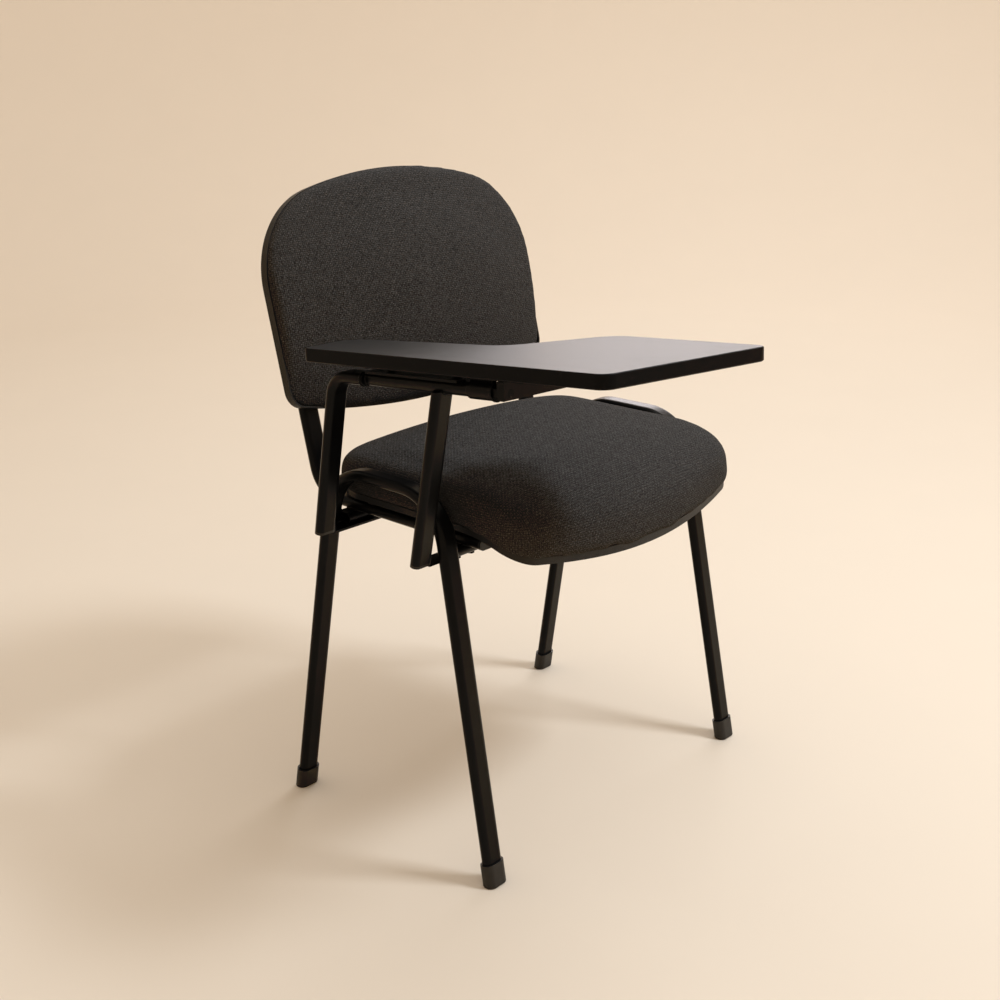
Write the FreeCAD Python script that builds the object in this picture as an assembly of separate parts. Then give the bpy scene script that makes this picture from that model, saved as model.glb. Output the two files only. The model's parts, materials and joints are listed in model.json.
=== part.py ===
"""Stacking conference chair with a steel hoop frame and a folding writing tablet at the right arm.

Millimetres. +Z is up and the floor is Z = 0. The sitter faces -Y, so the sitter's right is -X.
The chair is drawn with X = 0 at the middle of the seat and Y = 0 midway between the front and rear feet.
At the end it is moved over the floor, so that the origin is the middle of the underside of its box.
"""
import FreeCAD, Part
import math
import os

V = FreeCAD.Vector
UP = V(0, 0, 1)
ACROSS = V(1, 0, 0)

# Flat-oval tube of the whole frame
tube_width = 28.0
tube_depth = 14.0
tube_wall = 1.5

# Side hoops: gap to the seat's sides, length between feet, height of the top face, leg lean and bends
seat_side_gap = 4.0
foot_base = 356.0
hoop_height = 484.0
front_leg_lean = 11.35
rear_leg_lean = 9.15
hoop_splay = 1.2
hoop_bend_radius = 70.0

# Foot boots
boot_wall = 2.5
boot_height = 29.0
boot_floor = 6.0
boot_edge_round = 2.0

# Cross bars: drop under the hoops' top face, steps inward from the legs, sink of the rails, weld depth
bar_drop = 77.0
front_bar_inset = 12.0
rear_bar_inset = 10.5
rail_sink = 1.0
weld_depth = 4.0

# Seat rails and back uprights, one bent tube on each side: step in from the seat's side,
# reach ahead of the place where the seat starts to fall, corner behind the seat's rear edge
rail_inset = 15.0
rail_overreach = 29.5
upright_step = 6.0
upright_bend_radius = 45.0
upright_length = 250.0
recline = 14.2

# Plastic plugs in open tube ends
plug_flange = 3.5
plug_insert = 16.0

# Seat: plan outline, shell, board and foam
seat_width = 446.0
seat_front = 213.0
seat_rear = 161.0
seat_front_bow = 800.0
seat_rear_bow = 1800.0
seat_front_corner = 40.0
seat_rear_corner = 74.0
seat_boss_height = 4.0
seat_boss_diameter = 20.0
shell_wall = 2.5
least_corner = 6.0
seat_board_thickness = 10.0
seat_fall_reach = 121.0
seat_fall_radius = 195.0
seat_foam = 48.0
seat_lip = 8.0
seat_wrap = 3.0
seat_bulge = 3.0
seat_crown_radius = 2400.0
seat_front_round = 140.0
seat_front_round_reach = 115.0
seat_rear_round = 200.0
seat_rear_round_reach = 81.0

# Back: side beyond the uprights' middle line, outline measured up from the corner of the uprights
back_overhang = 36.0
back_top_height = 409.0
back_bottom_height = 90.0
back_top_bow = 600.0
back_bottom_bow = 1050.0
back_top_corner = 125.0
back_bottom_corner = 24.0
back_board_thickness = 10.0
back_shell_depth = 14.5
back_shell_slope = 28.0
back_rim_depth = 12.0
upright_clearance = 0.5
back_foam = 38.0
back_crown_radius = 1150.0
back_height_radius = 650.0

# Bolts of the seat and back with their tee nuts: distance from the cross bars, from the back's
# bottom and from the end of the uprights
bolt_diameter = 6.0
bolt_head_diameter = 12.0
bolt_head_height = 4.0
bolt_hole_clearance = 0.4
tee_flange_diameter = 15.0
tee_flange_height = 1.5
tee_barrel_diameter = 8.0
tee_barrel_length = 8.0
seat_bolt_step = 20.0
back_bolt_step = 60.0
back_bolt_end = 22.0

# Arm posts: gap to the hoop, lean, foot over the bars' underside, distance from the bracket's outer edge
arm_gap = 6.4
rear_post_lean = 10.0
front_post_lean = 10.4
post_step = 6.0
post_bend_radius = 30.0
rear_post_inset = 20.0
front_post_inset = 2.0

# Angle brackets under the cross bars, with their bolts
bracket_thickness = 3.0
bracket_width = 22.0
bracket_height = 32.0
bracket_reach = 11.0
front_bracket_gap = 5.0
rear_bracket_gap = 1.5
bracket_seat = 1.0
bracket_bolt_diameter = 5.0
bracket_bolt_edge = 9.0
bracket_bolt_pitch = 24.0
bracket_head_flats = 8.0
bracket_head_height = 3.5
bracket_nut_height = 4.0
bracket_bolt_spare = 2.0

# Hinge line of the tablet: height over the seat at Y = 0, rise to the front, slope to the sitter
hinge_over_seat = 121.2
stub_reach = 4.0
hinge_rise = 4.9
tablet_slope = 1.7
running_clearance = 0.05
body_gap = 0.3

# Shaft, bushes and pivot tube
pivot_wall = 2.0
pivot_length = 160.0
end_plate_thickness = 3.0
post_saddle = 5.0
shaft_diameter = 10.0
bush_wall = 0.95
bush_length = 20.0
bush_flange = 2.0
rear_bush_step = 22.0
shaft_tail = 10.0
ring_thickness = 2.0
ring_gap = 0.2

# Stop plate and rubber buffers on the pivot tube
stop_width = 28.0
stop_outboard = 12.0
stop_thickness = 3.0
stop_sink = 0.5
stop_step = 5.0
stop_front_step = 9.0
buffer_diameter = 9.0
buffer_inboard = 10.0
buffer_end_distance = 20.0

# Moving hinge pieces in front of the pivot tube
collar_diameter = 20.0
collar_length = 35.0
washer_diameter = 22.0
washer_thickness = 2.0
nut_flats = 17.0
nut_height = 9.0
arm_thickness = 10.0
arm_below = 7.0
arm_outboard = 11.0
arm_inboard = 165.0
plate_thickness = 3.0
plate_outboard = 8.0
plate_inboard = 190.0
plate_front_overhang = 24.0
plate_rear_overhang = 46.0

# Tablet: height of its underside over the hinge line, layers and plan outline
tablet_lift = 16.5
tablet_thickness = 16.0
laminate_thickness = 0.8
band_thickness = 2.0
band_edge_round = 1.8
# Reach of its outline ahead of and behind the carrying arm, inboard and outboard of the hinge line
tablet_front_reach = 183.7
tablet_rear_reach = 317.3
tablet_inboard = 227.0
tablet_outboard = 22.0
# Wide front part, shoulder and narrow tail of the outline, with the skew and taper of its sides
tablet_head_length = 210.0
tablet_shoulder_length = 60.5
tablet_neck_width = 98.0
tablet_tail_width = 66.0
tablet_front_skew = 33.5
tablet_rear_skew = 18.0
tablet_outer_taper = 3.5
tablet_inner_taper = 2.5
tablet_rear_corner = 9.0
tablet_front_corner = 16.0
tablet_tip_corner = 12.0
tablet_inner_corner = 42.0
tablet_neck_corner = 48.0
tablet_tail_corner = 36.0

# Wood screws of the tablet
screw_diameter = 4.5
screw_length = 11.0
screw_head_diameter = 9.0
screw_head_height = 2.5
screw_edge = 8.0
screw_first = 34.0
screw_columns = 3

pieces = {}


def keep(name, solids):
    """Keep one named piece, or one set of like pieces, until the whole chair is drawn."""
    pieces[name] = solids[0] if len(solids) == 1 else Part.makeCompound(solids)


def tangent(degrees):
    """Tangent of an angle in degrees."""
    return math.tan(math.radians(degrees))


def box(x0, x1, y0, y1, z0, z1):
    """Block between two corners."""
    return Part.makeBox(x1 - x0, y1 - y0, z1 - z0, V(x0, y0, z0))


def rod(diameter, start, direction, length):
    """Round bar from a start point along a direction."""
    return Part.makeCylinder(diameter / 2, length, start, direction)


def hexagon(flats, start, direction, sideways, length):
    """Six-sided bar, as for a nut or bolt head."""
    corner = flats / math.sqrt(3)
    across = direction.cross(sideways)
    points = []
    for step in range(7):
        turn = math.radians(60 * step)
        spoke = sideways * math.cos(turn) + across * math.sin(turn)
        points.append(start + spoke * corner)
    return Part.Face(Part.makePolygon(points)).extrude(direction * length)


def oval_face(width, depth, middle, wide, narrow):
    """Flat face with a flat-oval edge: two straight sides and two round ends."""
    half = (width - depth) / 2
    end = depth / 2

    def at(a, b):
        return middle + wide * a + narrow * b

    edges = [
        Part.LineSegment(at(-half, -end), at(half, -end)).toShape(),
        Part.Arc(at(half, -end), at(half + end, 0), at(half, end)).toShape(),
        Part.LineSegment(at(half, end), at(-half, end)).toShape(),
        Part.Arc(at(-half, end), at(-half - end, 0), at(-half, -end)).toShape(),
    ]
    return Part.Face(Part.Wire(edges))


def unit(vector):
    """Copy of a vector with length one."""
    return V(vector).normalize()


def bent_bar(corners, radius, width, depth):
    """Solid flat-oval bar along a bent line in a YZ plane, with its wide side along X."""
    start = corners[0]
    runs = []
    for index in range(1, len(corners)):
        corner = corners[index]
        along = unit(corner - corners[index - 1])
        narrow = along.cross(ACROSS)
        if index == len(corners) - 1:
            runs.append(oval_face(width, depth, start, ACROSS, narrow).extrude(corner - start))
            break
        after = unit(corners[index + 1] - corner)
        turn = along.getAngle(after)
        setback = radius * math.tan(turn / 2)
        bend_start = corner - along * setback
        inward = unit(after - along * after.dot(along))
        runs.append(oval_face(width, depth, start, ACROSS, narrow).extrude(bend_start - start))
        section = oval_face(width, depth, bend_start, ACROSS, narrow)
        runs.append(section.revolve(bend_start + inward * radius, along.cross(after), math.degrees(turn)))
        start = corner + after * setback
    if len(runs) == 1:
        return runs[0]
    return runs[0].fuse(runs[1:]).removeSplitter()


def bent_tube(corners, radius):
    """Hollow frame tube along a bent line."""
    bore = bent_bar(corners, radius, tube_width - 2 * tube_wall, tube_depth - 2 * tube_wall)
    return bent_bar(corners, radius, tube_width, tube_depth).cut(bore)


def tube_plug(end, outward):
    """Plastic plug for an open tube end: a flange outside and a snug insert inside."""
    narrow = outward.cross(ACROSS)
    flange = oval_face(tube_width, tube_depth, end, ACROSS, narrow).extrude(outward * plug_flange)
    inner_width = tube_width - 2 * tube_wall
    inner_depth = tube_depth - 2 * tube_wall
    insert = oval_face(inner_width, inner_depth, end, ACROSS, narrow).extrude(outward * -plug_insert)
    return flange.fuse(insert).removeSplitter()


def shield_wire(outline, level):
    """Closed outline at one height: straight sides, bowed ends and round corners, all tangent."""
    half, top, top_bow, top_corner, bottom, bottom_bow, bottom_corner = outline
    top_reach = math.sqrt((top_bow - top_corner) ** 2 - (half - top_corner) ** 2)
    low_reach = math.sqrt((bottom_bow - bottom_corner) ** 2 - (half - bottom_corner) ** 2)
    top_middle = V(0, top - top_bow, level)
    low_middle = V(0, bottom + bottom_bow, level)
    high = V(half - top_corner, top - top_bow + top_reach, level)
    low = V(half - bottom_corner, bottom + bottom_bow - low_reach, level)
    high_join = top_middle + unit(high - top_middle) * top_bow
    low_join = low_middle + unit(low - low_middle) * bottom_bow
    high_mid = high + unit(unit(high_join - high) + ACROSS) * top_corner
    low_mid = low + unit(unit(low_join - low) + ACROSS) * bottom_corner
    high_side = high + V(top_corner, 0, 0)
    low_side = low + V(bottom_corner, 0, 0)

    def flip(point):
        return V(-point.x, point.y, point.z)

    edges = [
        Part.LineSegment(low_side, high_side).toShape(),
        Part.Arc(high_side, high_mid, high_join).toShape(),
        Part.Arc(high_join, V(0, top, level), flip(high_join)).toShape(),
        Part.Arc(flip(high_join), flip(high_mid), flip(high_side)).toShape(),
        Part.LineSegment(flip(high_side), flip(low_side)).toShape(),
        Part.Arc(flip(low_side), flip(low_mid), flip(low_join)).toShape(),
        Part.Arc(flip(low_join), V(0, bottom, level), low_join).toShape(),
        Part.Arc(low_join, low_mid, low_side).toShape(),
    ]
    return Part.Wire(edges)


def inset(outline, step):
    """The same outline drawn in by one step all round."""
    half, top, top_bow, top_corner, bottom, bottom_bow, bottom_corner = outline
    return (half - step, top - step, top_bow - step, max(top_corner - step, least_corner),
            bottom + step, bottom_bow - step, max(bottom_corner - step, least_corner))


def shield_prism(outline, low, high):
    """Straight block with a shield outline."""
    return Part.Face(shield_wire(outline, low)).extrude(V(0, 0, high - low))


def stacked(outline, levels, ruled):
    """Solid through the outline drawn in by a given step at each height."""
    wires = [shield_wire(inset(outline, step), level) for level, step in levels]
    return Part.makeLoft(wires, True, ruled)


def crowned(profile, ends, low, top, radius, half_width):
    """Solid under a lengthwise profile that is swept to both sides about a far axis below it."""
    first = V(0, ends[0].y, low)
    last = V(0, ends[1].y, low)
    closing = [
        Part.LineSegment(ends[1], last).toShape(),
        Part.LineSegment(last, first).toShape(),
        Part.LineSegment(first, ends[0]).toShape(),
    ]
    face = Part.Face(Part.Wire(profile + closing))
    middle = V(0, 0, top - radius)
    half_turn = math.degrees(math.asin(half_width / radius))
    face.rotate(middle, V(0, 1, 0), -half_turn)
    return face.revolve(middle, V(0, 1, 0), 2 * half_turn)


def rounded_wire(corners, level):
    """Closed outline of straight runs with tangent arcs at its corners."""
    count = len(corners)
    starts = []
    arcs = []
    for index in range(count):
        x, y, radius = corners[index]
        here = V(x, y, level)
        back = unit(V(corners[index - 1][0], corners[index - 1][1], level) - here)
        ahead_corner = corners[(index + 1) % count]
        ahead = unit(V(ahead_corner[0], ahead_corner[1], level) - here)
        half_angle = back.getAngle(ahead) / 2
        setback = radius / math.tan(half_angle)
        bisector = unit(back + ahead)
        middle = here + bisector * (radius / math.sin(half_angle) - radius)
        starts.append((here + back * setback, here + ahead * setback))
        arcs.append(Part.Arc(here + back * setback, middle, here + ahead * setback).toShape())
    edges = []
    for index in range(count):
        edges.append(arcs[index])
        edges.append(Part.LineSegment(starts[index][1], starts[(index + 1) % count][0]).toShape())
    return Part.Wire(edges)


def drawn_in(corners, step):
    """Corner list of the parallel outline one step inside a clockwise outline."""
    count = len(corners)
    result = []
    for index in range(count):
        x, y, radius = corners[index]
        before = unit(V(x, y, 0) - V(corners[index - 1][0], corners[index - 1][1], 0))
        ahead_corner = corners[(index + 1) % count]
        after = unit(V(ahead_corner[0], ahead_corner[1], 0) - V(x, y, 0))
        inner_before = V(before.y, -before.x, 0)
        inner_after = V(after.y, -after.x, 0)
        shift = (inner_before + inner_after) * (step / (1 + inner_before.dot(inner_after)))
        hollow = before.cross(after).z > 0
        result.append((x + shift.x, y + shift.y, radius + step if hollow else radius - step))
    return result


def rounded_prism(corners, low, high):
    """Straight block with a rounded-corner outline."""
    return Part.Face(rounded_wire(corners, low)).extrude(V(0, 0, high - low))


# Side hoops, bent in their own upright plane, then leaned inward about the foot line
hoop_top = hoop_height - tube_depth / 2
hoop_side = seat_width / 2 + seat_bulge + seat_side_gap + tube_width / 2
foot_spacing = 2 * (hoop_side + hoop_top * tangent(hoop_splay))
front_foot = -foot_base / 2
rear_foot = foot_base / 2


def front_leg(height):
    """Y of the front leg's middle line at a height."""
    return front_foot + height * tangent(front_leg_lean)


def rear_leg(height):
    """Y of the rear leg's middle line at a height."""
    return rear_foot - height * tangent(rear_leg_lean)


def leg_side(height):
    """Distance of the leg's middle line from X = 0 at a height."""
    return foot_spacing / 2 - height * tangent(hoop_splay)


def stand(shape, side):
    """Lean a hoop piece inward about the foot line and move it to its side."""
    placed = shape.copy()
    placed.rotate(V(0, 0, 0), V(0, 1, 0), -side * hoop_splay)
    placed.translate(V(side * foot_spacing / 2, 0, 0))
    return placed


hoop_corners = [
    V(0, front_leg(boot_floor), boot_floor),
    V(0, front_leg(hoop_top), hoop_top),
    V(0, rear_leg(hoop_top), hoop_top),
    V(0, rear_leg(boot_floor), boot_floor),
]
sides = {"right": -1, "left": 1}
hoop_bars = {}
for name, side in sides.items():
    hoop_bars[name] = stand(bent_bar(hoop_corners, hoop_bend_radius, tube_width, tube_depth), side)
    keep("%s_side_hoop" % name, [stand(bent_tube(hoop_corners, hoop_bend_radius), side)])

# Foot boots: a socket round the tube end, cut flat on the floor
floor = box(-foot_spacing, foot_spacing, -foot_base, foot_base, -4 * boot_height, 0)
boot_width = tube_width + 2 * boot_wall
boot_depth = tube_depth + 2 * boot_wall
boot_reach = 2 * boot_height - boot_floor
leg_runs = {"front": (hoop_corners[0], hoop_corners[1]), "rear": (hoop_corners[3], hoop_corners[2])}
for end, (foot, corner) in leg_runs.items():
    up = unit(corner - foot)
    narrow = up.cross(ACROSS)
    below = foot - up * boot_height
    boot = oval_face(boot_width, boot_depth, below, ACROSS, narrow).extrude(up * boot_reach)
    socket = oval_face(tube_width, tube_depth, foot, ACROSS, narrow).extrude(up * boot_height)
    for name, side in sides.items():
        cut_flat = stand(boot, side).cut(floor)
        sole = [edge for edge in cut_flat.Edges if edge.BoundBox.ZMax < 0.001]
        rounded = cut_flat.makeFillet(boot_edge_round, sole)
        keep("%s_%s_foot_boot" % (name, end), [rounded.cut(stand(socket, side))])

# Heights and places of the cross bars and the rails that lie on them
bar_height = hoop_height - bar_drop
bar_bottom = bar_height - tube_depth / 2
bar_top = bar_height + tube_depth / 2
front_bar_y = front_leg(bar_height) + front_bar_inset
rear_bar_y = rear_leg(bar_height) - rear_bar_inset
bar_end = leg_side(bar_height) - tube_width / 2 + weld_depth
rail_height = bar_top - rail_sink + tube_depth / 2
rail_side = seat_width / 2 - rail_inset
seat_fall_start = seat_front - seat_fall_reach
rail_front = seat_fall_start + rail_overreach

# Arm plane and the brackets that cross to it
post_bottom = bar_bottom + post_step
arm_plane = leg_side(post_bottom) + tube_width / 2 + arm_gap + tube_width / 2
bracket_top = bar_bottom
bracket_bottom = bracket_top - bracket_thickness
half_depth_front = tube_depth / 2 / math.cos(math.radians(front_leg_lean))
half_depth_rear = tube_depth / 2 / math.cos(math.radians(rear_leg_lean))
front_bracket_edge = front_leg(bracket_bottom) + half_depth_front + front_bracket_gap
rear_bracket_edge = rear_leg(bracket_top) - half_depth_rear - rear_bracket_gap
bracket_end = -(rail_side - tube_width / 2 - bracket_reach)
bracket_bolt_x = bracket_end - bracket_bolt_edge
bracket_bolt_xs = (bracket_bolt_x, bracket_bolt_x - bracket_bolt_pitch)
bracket_spans = {
    "front": (front_bracket_edge, front_bracket_edge + bracket_width, front_bar_y),
    "rear": (rear_bracket_edge - bracket_width, rear_bracket_edge, rear_bar_y),
}

bolt_hole = bolt_diameter + bolt_hole_clearance
bracket_hole = bracket_bolt_diameter + bolt_hole_clearance
bar_flat = (tube_width - tube_depth) / 2
bracket_bolt_y = {}
for end, (low, high, bar_y) in bracket_spans.items():
    bracket_bolt_y[end] = (max(low, bar_y - bar_flat) + min(high, bar_y + bar_flat)) / 2

# Seat rails that bend up into the back uprights
lean_back = V(0, math.sin(math.radians(recline)), math.cos(math.radians(recline)))
face_out = V(0, -math.cos(math.radians(recline)), math.sin(math.radians(recline)))
back_origin = V(0, seat_rear + upright_step, rail_height)
rail_top = rail_height + tube_depth / 2
rail_bottom = rail_height - tube_depth / 2
rail_corners = [V(0, -rail_front, rail_height), back_origin, back_origin + lean_back * upright_length]
front_bolt_y = front_bar_y + tube_width / 2 + seat_bolt_step
rear_bolt_y = rear_bar_y - tube_width / 2 - seat_bolt_step
seat_bolt_places = [(x, y) for x in (-rail_side, rail_side) for y in (front_bolt_y, rear_bolt_y)]
back_bolt_rows = (back_bottom_height + back_bolt_step, upright_length - back_bolt_end)
back_bolt_places = [(x, v) for x in (-rail_side, rail_side) for v in back_bolt_rows]

back_frame = FreeCAD.Placement(back_origin, FreeCAD.Rotation(ACROSS, 90 - recline))


def on_back(shape):
    """Move a piece from the back's own plane to its reclined place."""
    placed = shape.copy()
    placed.Placement = back_frame.multiply(placed.Placement)
    return placed


rail_holes = []
for x, y in seat_bolt_places:
    rail_holes.append(rod(bolt_hole, V(x, y, rail_height - tube_depth), UP, 2 * tube_depth))
for x, v in back_bolt_places:
    rail_holes.append(on_back(rod(bolt_hole, V(x, v, -tube_depth), UP, 2 * tube_depth)))
rail_bar = bent_bar(rail_corners, upright_bend_radius, tube_width, tube_depth)
rail_tube = bent_tube(rail_corners, upright_bend_radius)
rail_bars = []
for name, side in sides.items():
    solid = rail_bar.copy()
    solid.translate(V(side * rail_side, 0, 0))
    rail_bars.append(solid)
    upright = rail_tube.copy()
    upright.translate(V(side * rail_side, 0, 0))
    keep("%s_back_upright" % name, [upright.cut(rail_holes)])

rail_plug = tube_plug(rail_corners[0], V(0, -1, 0))
rail_plugs = []
for side in sides.values():
    plug = rail_plug.copy()
    plug.translate(V(side * rail_side, 0, 0))
    rail_plugs.append(plug)
keep("rail_end_plugs", rail_plugs)

# Cross bars between the hoops, shaped to the legs at their ends and to the rails on their top
for end, bar_y in (("front", front_bar_y), ("rear", rear_bar_y)):
    start = V(-bar_end, bar_y, bar_height)
    length = V(2 * bar_end, 0, 0)
    solid = oval_face(tube_width, tube_depth, start, V(0, 1, 0), UP).extrude(length)
    inner_width = tube_width - 2 * tube_wall
    inner_depth = tube_depth - 2 * tube_wall
    bore = oval_face(inner_width, inner_depth, start, V(0, 1, 0), UP).extrude(length)
    holes = [rod(bracket_hole, V(x, bracket_bolt_y[end], bar_bottom - tube_wall), UP, 3 * tube_wall)
             for x in bracket_bolt_xs]
    keep("%s_cross_bar" % end, [solid.cut([bore] + holes + list(hoop_bars.values()) + rail_bars)])

# Seat: every layer lies between two curves parallel to the shell's underside
shell_bottom = rail_top + seat_boss_height
seat_rim = shell_wall + seat_board_thickness
seat_top = shell_bottom + seat_rim + seat_foam
seat_outline = (seat_width / 2, seat_rear, seat_rear_bow, seat_rear_corner,
                -seat_front, seat_front_bow, seat_front_corner)
fall_middle = V(-seat_width, -seat_fall_start, shell_bottom - seat_fall_radius)
fall_angle = math.asin((seat_front - seat_fall_start + shell_wall) / seat_fall_radius) + 0.1


def seat_layer(low, high):
    """Layer of the seat between two heights over the shell's underside, rolled down at the front."""
    def fall(height, angle):
        reach = seat_fall_radius + height
        return fall_middle + V(0, -reach * math.sin(angle), reach * math.cos(angle))

    def rear(height):
        return V(-seat_width, 2 * seat_rear, shell_bottom + height)

    edges = [
        Part.LineSegment(rear(low), fall(low, 0)).toShape(),
        Part.Arc(fall(low, 0), fall(low, fall_angle / 2), fall(low, fall_angle)).toShape(),
        Part.LineSegment(fall(low, fall_angle), fall(high, fall_angle)).toShape(),
        Part.Arc(fall(high, fall_angle), fall(high, fall_angle / 2), fall(high, 0)).toShape(),
        Part.LineSegment(fall(high, 0), rear(high)).toShape(),
        Part.LineSegment(rear(high), rear(low)).toShape(),
    ]
    return Part.Face(Part.Wire(edges)).extrude(V(2 * seat_width, 0, 0))


deep = seat_fall_radius / 2
seat_low = shell_bottom - deep
seat_high = seat_top + seat_foam
seat_block = shield_prism(seat_outline, seat_low, seat_high)
seat_core = shield_prism(inset(seat_outline, shell_wall), seat_low, seat_high)
seat_bores = [rod(bolt_hole, V(x, y, seat_low), UP, seat_high - seat_low) for x, y in seat_bolt_places]
seat_bosses = []
for x, y in seat_bolt_places:
    seat_bosses.append(rod(seat_boss_diameter, V(x, y, rail_top), UP, seat_boss_height))
seat_rim_ring = seat_layer(0, seat_lip).common(seat_block.cut(seat_core))
seat_pan = seat_layer(0, shell_wall).common(seat_block)
seat_shell = seat_pan.fuse([seat_rim_ring] + seat_bosses).removeSplitter().cut(seat_bores)
keep("seat_under_shell", [seat_shell])

seat_board_top = shell_bottom + seat_rim
tee_sockets = []
seat_tee_nuts = []
seat_bolts = []
for x, y in seat_bolt_places:
    flange = rod(tee_flange_diameter, V(x, y, seat_board_top - tee_flange_height), UP, tee_flange_height)
    barrel = rod(tee_barrel_diameter, V(x, y, seat_board_top - tee_barrel_length), UP, tee_barrel_length)
    nut = flange.fuse(barrel).removeSplitter()
    tee_sockets.append(nut)
    head = rod(bolt_head_diameter, V(x, y, rail_bottom - bolt_head_height), UP, bolt_head_height)
    shank_length = seat_board_top - tee_flange_height - rail_bottom
    shank = rod(bolt_diameter, V(x, y, rail_bottom), UP, shank_length)
    seat_tee_nuts.append(nut.cut(shank))
    seat_bolts.append(head.fuse(shank).removeSplitter())
board_block = shield_prism(inset(seat_outline, shell_wall + seat_wrap), seat_low, seat_high)
seat_board = seat_layer(shell_wall, seat_rim).common(board_block)
keep("seat_board", [seat_board.cut(seat_bores + tee_sockets)])
keep("seat_tee_nuts", seat_tee_nuts)
keep("seat_bolts", seat_bolts)

# Seat cushion: crowned across, rounded down at the front and rear, sides drawn in towards the top
front_round_middle = V(0, seat_front_round_reach - seat_front, seat_top - seat_front_round)
rear_round_middle = V(0, seat_rear - seat_rear_round_reach, seat_top - seat_rear_round)
cushion_reach = 2 * seat_bulge
front_angle = math.asin((seat_front_round_reach + cushion_reach) / seat_front_round)
rear_angle = math.asin((seat_rear_round_reach + cushion_reach) / seat_rear_round)


def front_round(angle):
    """Point of the cushion's front rounding."""
    return front_round_middle + V(0, -math.sin(angle), math.cos(angle)) * seat_front_round


def rear_round(angle):
    """Point of the cushion's rear rounding."""
    return rear_round_middle + V(0, math.sin(angle), math.cos(angle)) * seat_rear_round


seat_profile = [
    Part.Arc(rear_round(rear_angle), rear_round(rear_angle / 2), rear_round(0)).toShape(),
    Part.LineSegment(rear_round(0), front_round(0)).toShape(),
    Part.Arc(front_round(0), front_round(front_angle / 2), front_round(front_angle)).toShape(),
]
seat_ends = (rear_round(rear_angle), front_round(front_angle))
seat_half = seat_width / 2 + seat_rim
seat_crown = crowned(seat_profile, seat_ends, seat_low, seat_top, seat_crown_radius, seat_half)
seat_waist = [
    (seat_board_top - 1.2 * seat_foam, 1.0),
    (seat_board_top - 0.8 * seat_foam, 1.0),
    (seat_board_top - 0.4 * seat_foam, 1.0),
    (seat_board_top, 0.5),
    (seat_board_top + 0.35 * seat_foam, -seat_bulge),
    (seat_board_top + 0.8 * seat_foam, 6.0),
    (seat_board_top + 1.2 * seat_foam, 40.0),
]
seat_sides = stacked(seat_outline, seat_waist, False)
seat_pillow = seat_crown.common(seat_sides).common(seat_layer(seat_lip, seat_rim + 2 * seat_foam))
seat_tuck = seat_layer(shell_wall, seat_lip).common(seat_core)
seat_cushion = seat_pillow.fuse(seat_tuck).removeSplitter().cut(seat_board)
keep("seat_cushion", [seat_cushion])

# Back: shell, board and cushion built flat on the back's own plane, then reclined
back_width = 2 * (rail_side + back_overhang)
back_outline = (back_width / 2, back_top_height, back_top_bow, back_top_corner,
                back_bottom_height, back_bottom_bow, back_bottom_corner)
board_rear = tube_depth / 2
board_front = board_rear + back_board_thickness
rim_rear = board_front - back_rim_depth
shell_rear = -back_shell_depth
outer_levels = [(board_front, 0.0), (rim_rear, 0.0), (shell_rear, back_shell_slope)]
inner_levels = [
    (board_front, shell_wall),
    (rim_rear, shell_wall),
    (shell_rear + shell_wall, back_shell_slope),
]
way_width = tube_width + 2 * upright_clearance
way_depth = tube_depth + 2 * upright_clearance
upright_ways = []
for x in (-rail_side, rail_side):
    way = oval_face(way_width, way_depth, V(x, 0, 0), ACROSS, UP)
    upright_ways.append(way.extrude(V(0, upright_length, 0)))
back_shell = stacked(back_outline, outer_levels, True).cut(stacked(back_outline, inner_levels, True))
keep("back_shell", [on_back(back_shell.cut(upright_ways))])

back_sockets = []
back_tee_nuts = []
back_bolts = []
for x, v in back_bolt_places:
    flange = rod(tee_flange_diameter, V(x, v, board_front - tee_flange_height), UP, tee_flange_height)
    barrel = rod(tee_barrel_diameter, V(x, v, board_front - tee_barrel_length), UP, tee_barrel_length)
    nut = flange.fuse(barrel).removeSplitter()
    back_sockets.append(nut)
    head = rod(bolt_head_diameter, V(x, v, -board_rear - bolt_head_height), UP, bolt_head_height)
    shank = rod(bolt_diameter, V(x, v, -board_rear), UP, board_rear + board_front - tee_flange_height)
    back_tee_nuts.append(on_back(nut.cut(shank)))
    back_bolts.append(on_back(head.fuse(shank).removeSplitter()))
back_bores = [rod(bolt_hole, V(x, v, 0), UP, board_front) for x, v in back_bolt_places]
back_board = shield_prism(inset(back_outline, shell_wall), board_rear, board_front)
keep("back_board", [on_back(back_board.cut(back_bores + back_sockets))])
keep("back_tee_nuts", back_tee_nuts)
keep("back_bolts", back_bolts)

# Back cushion: crowned both ways, thin at its edges
cushion_top = board_front + back_foam
back_middle = V(0, (back_top_height + back_bottom_height) / 2, cushion_top - back_height_radius)
back_angle = math.asin((back_top_height - back_bottom_height) / 2 / back_height_radius) + 0.02


def back_round(angle):
    """Point of the back cushion's lengthwise rounding."""
    return back_middle + V(0, math.sin(angle), math.cos(angle)) * back_height_radius


back_ends = (back_round(back_angle), back_round(-back_angle))
back_profile = [Part.Arc(back_ends[0], back_round(0), back_ends[1]).toShape()]
back_low = -back_foam
back_half = back_width / 2 + shell_wall
back_crown = crowned(back_profile, back_ends, back_low, cushion_top, back_crown_radius, back_half)
back_waist = [
    (board_front, 1.0),
    (board_front + 0.25 * back_foam, 1.0),
    (board_front + 0.6 * back_foam, 14.0),
    (board_front + 1.1 * back_foam, 60.0),
]
keep("back_cushion", [on_back(back_crown.common(stacked(back_outline, back_waist, False)))])

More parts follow.
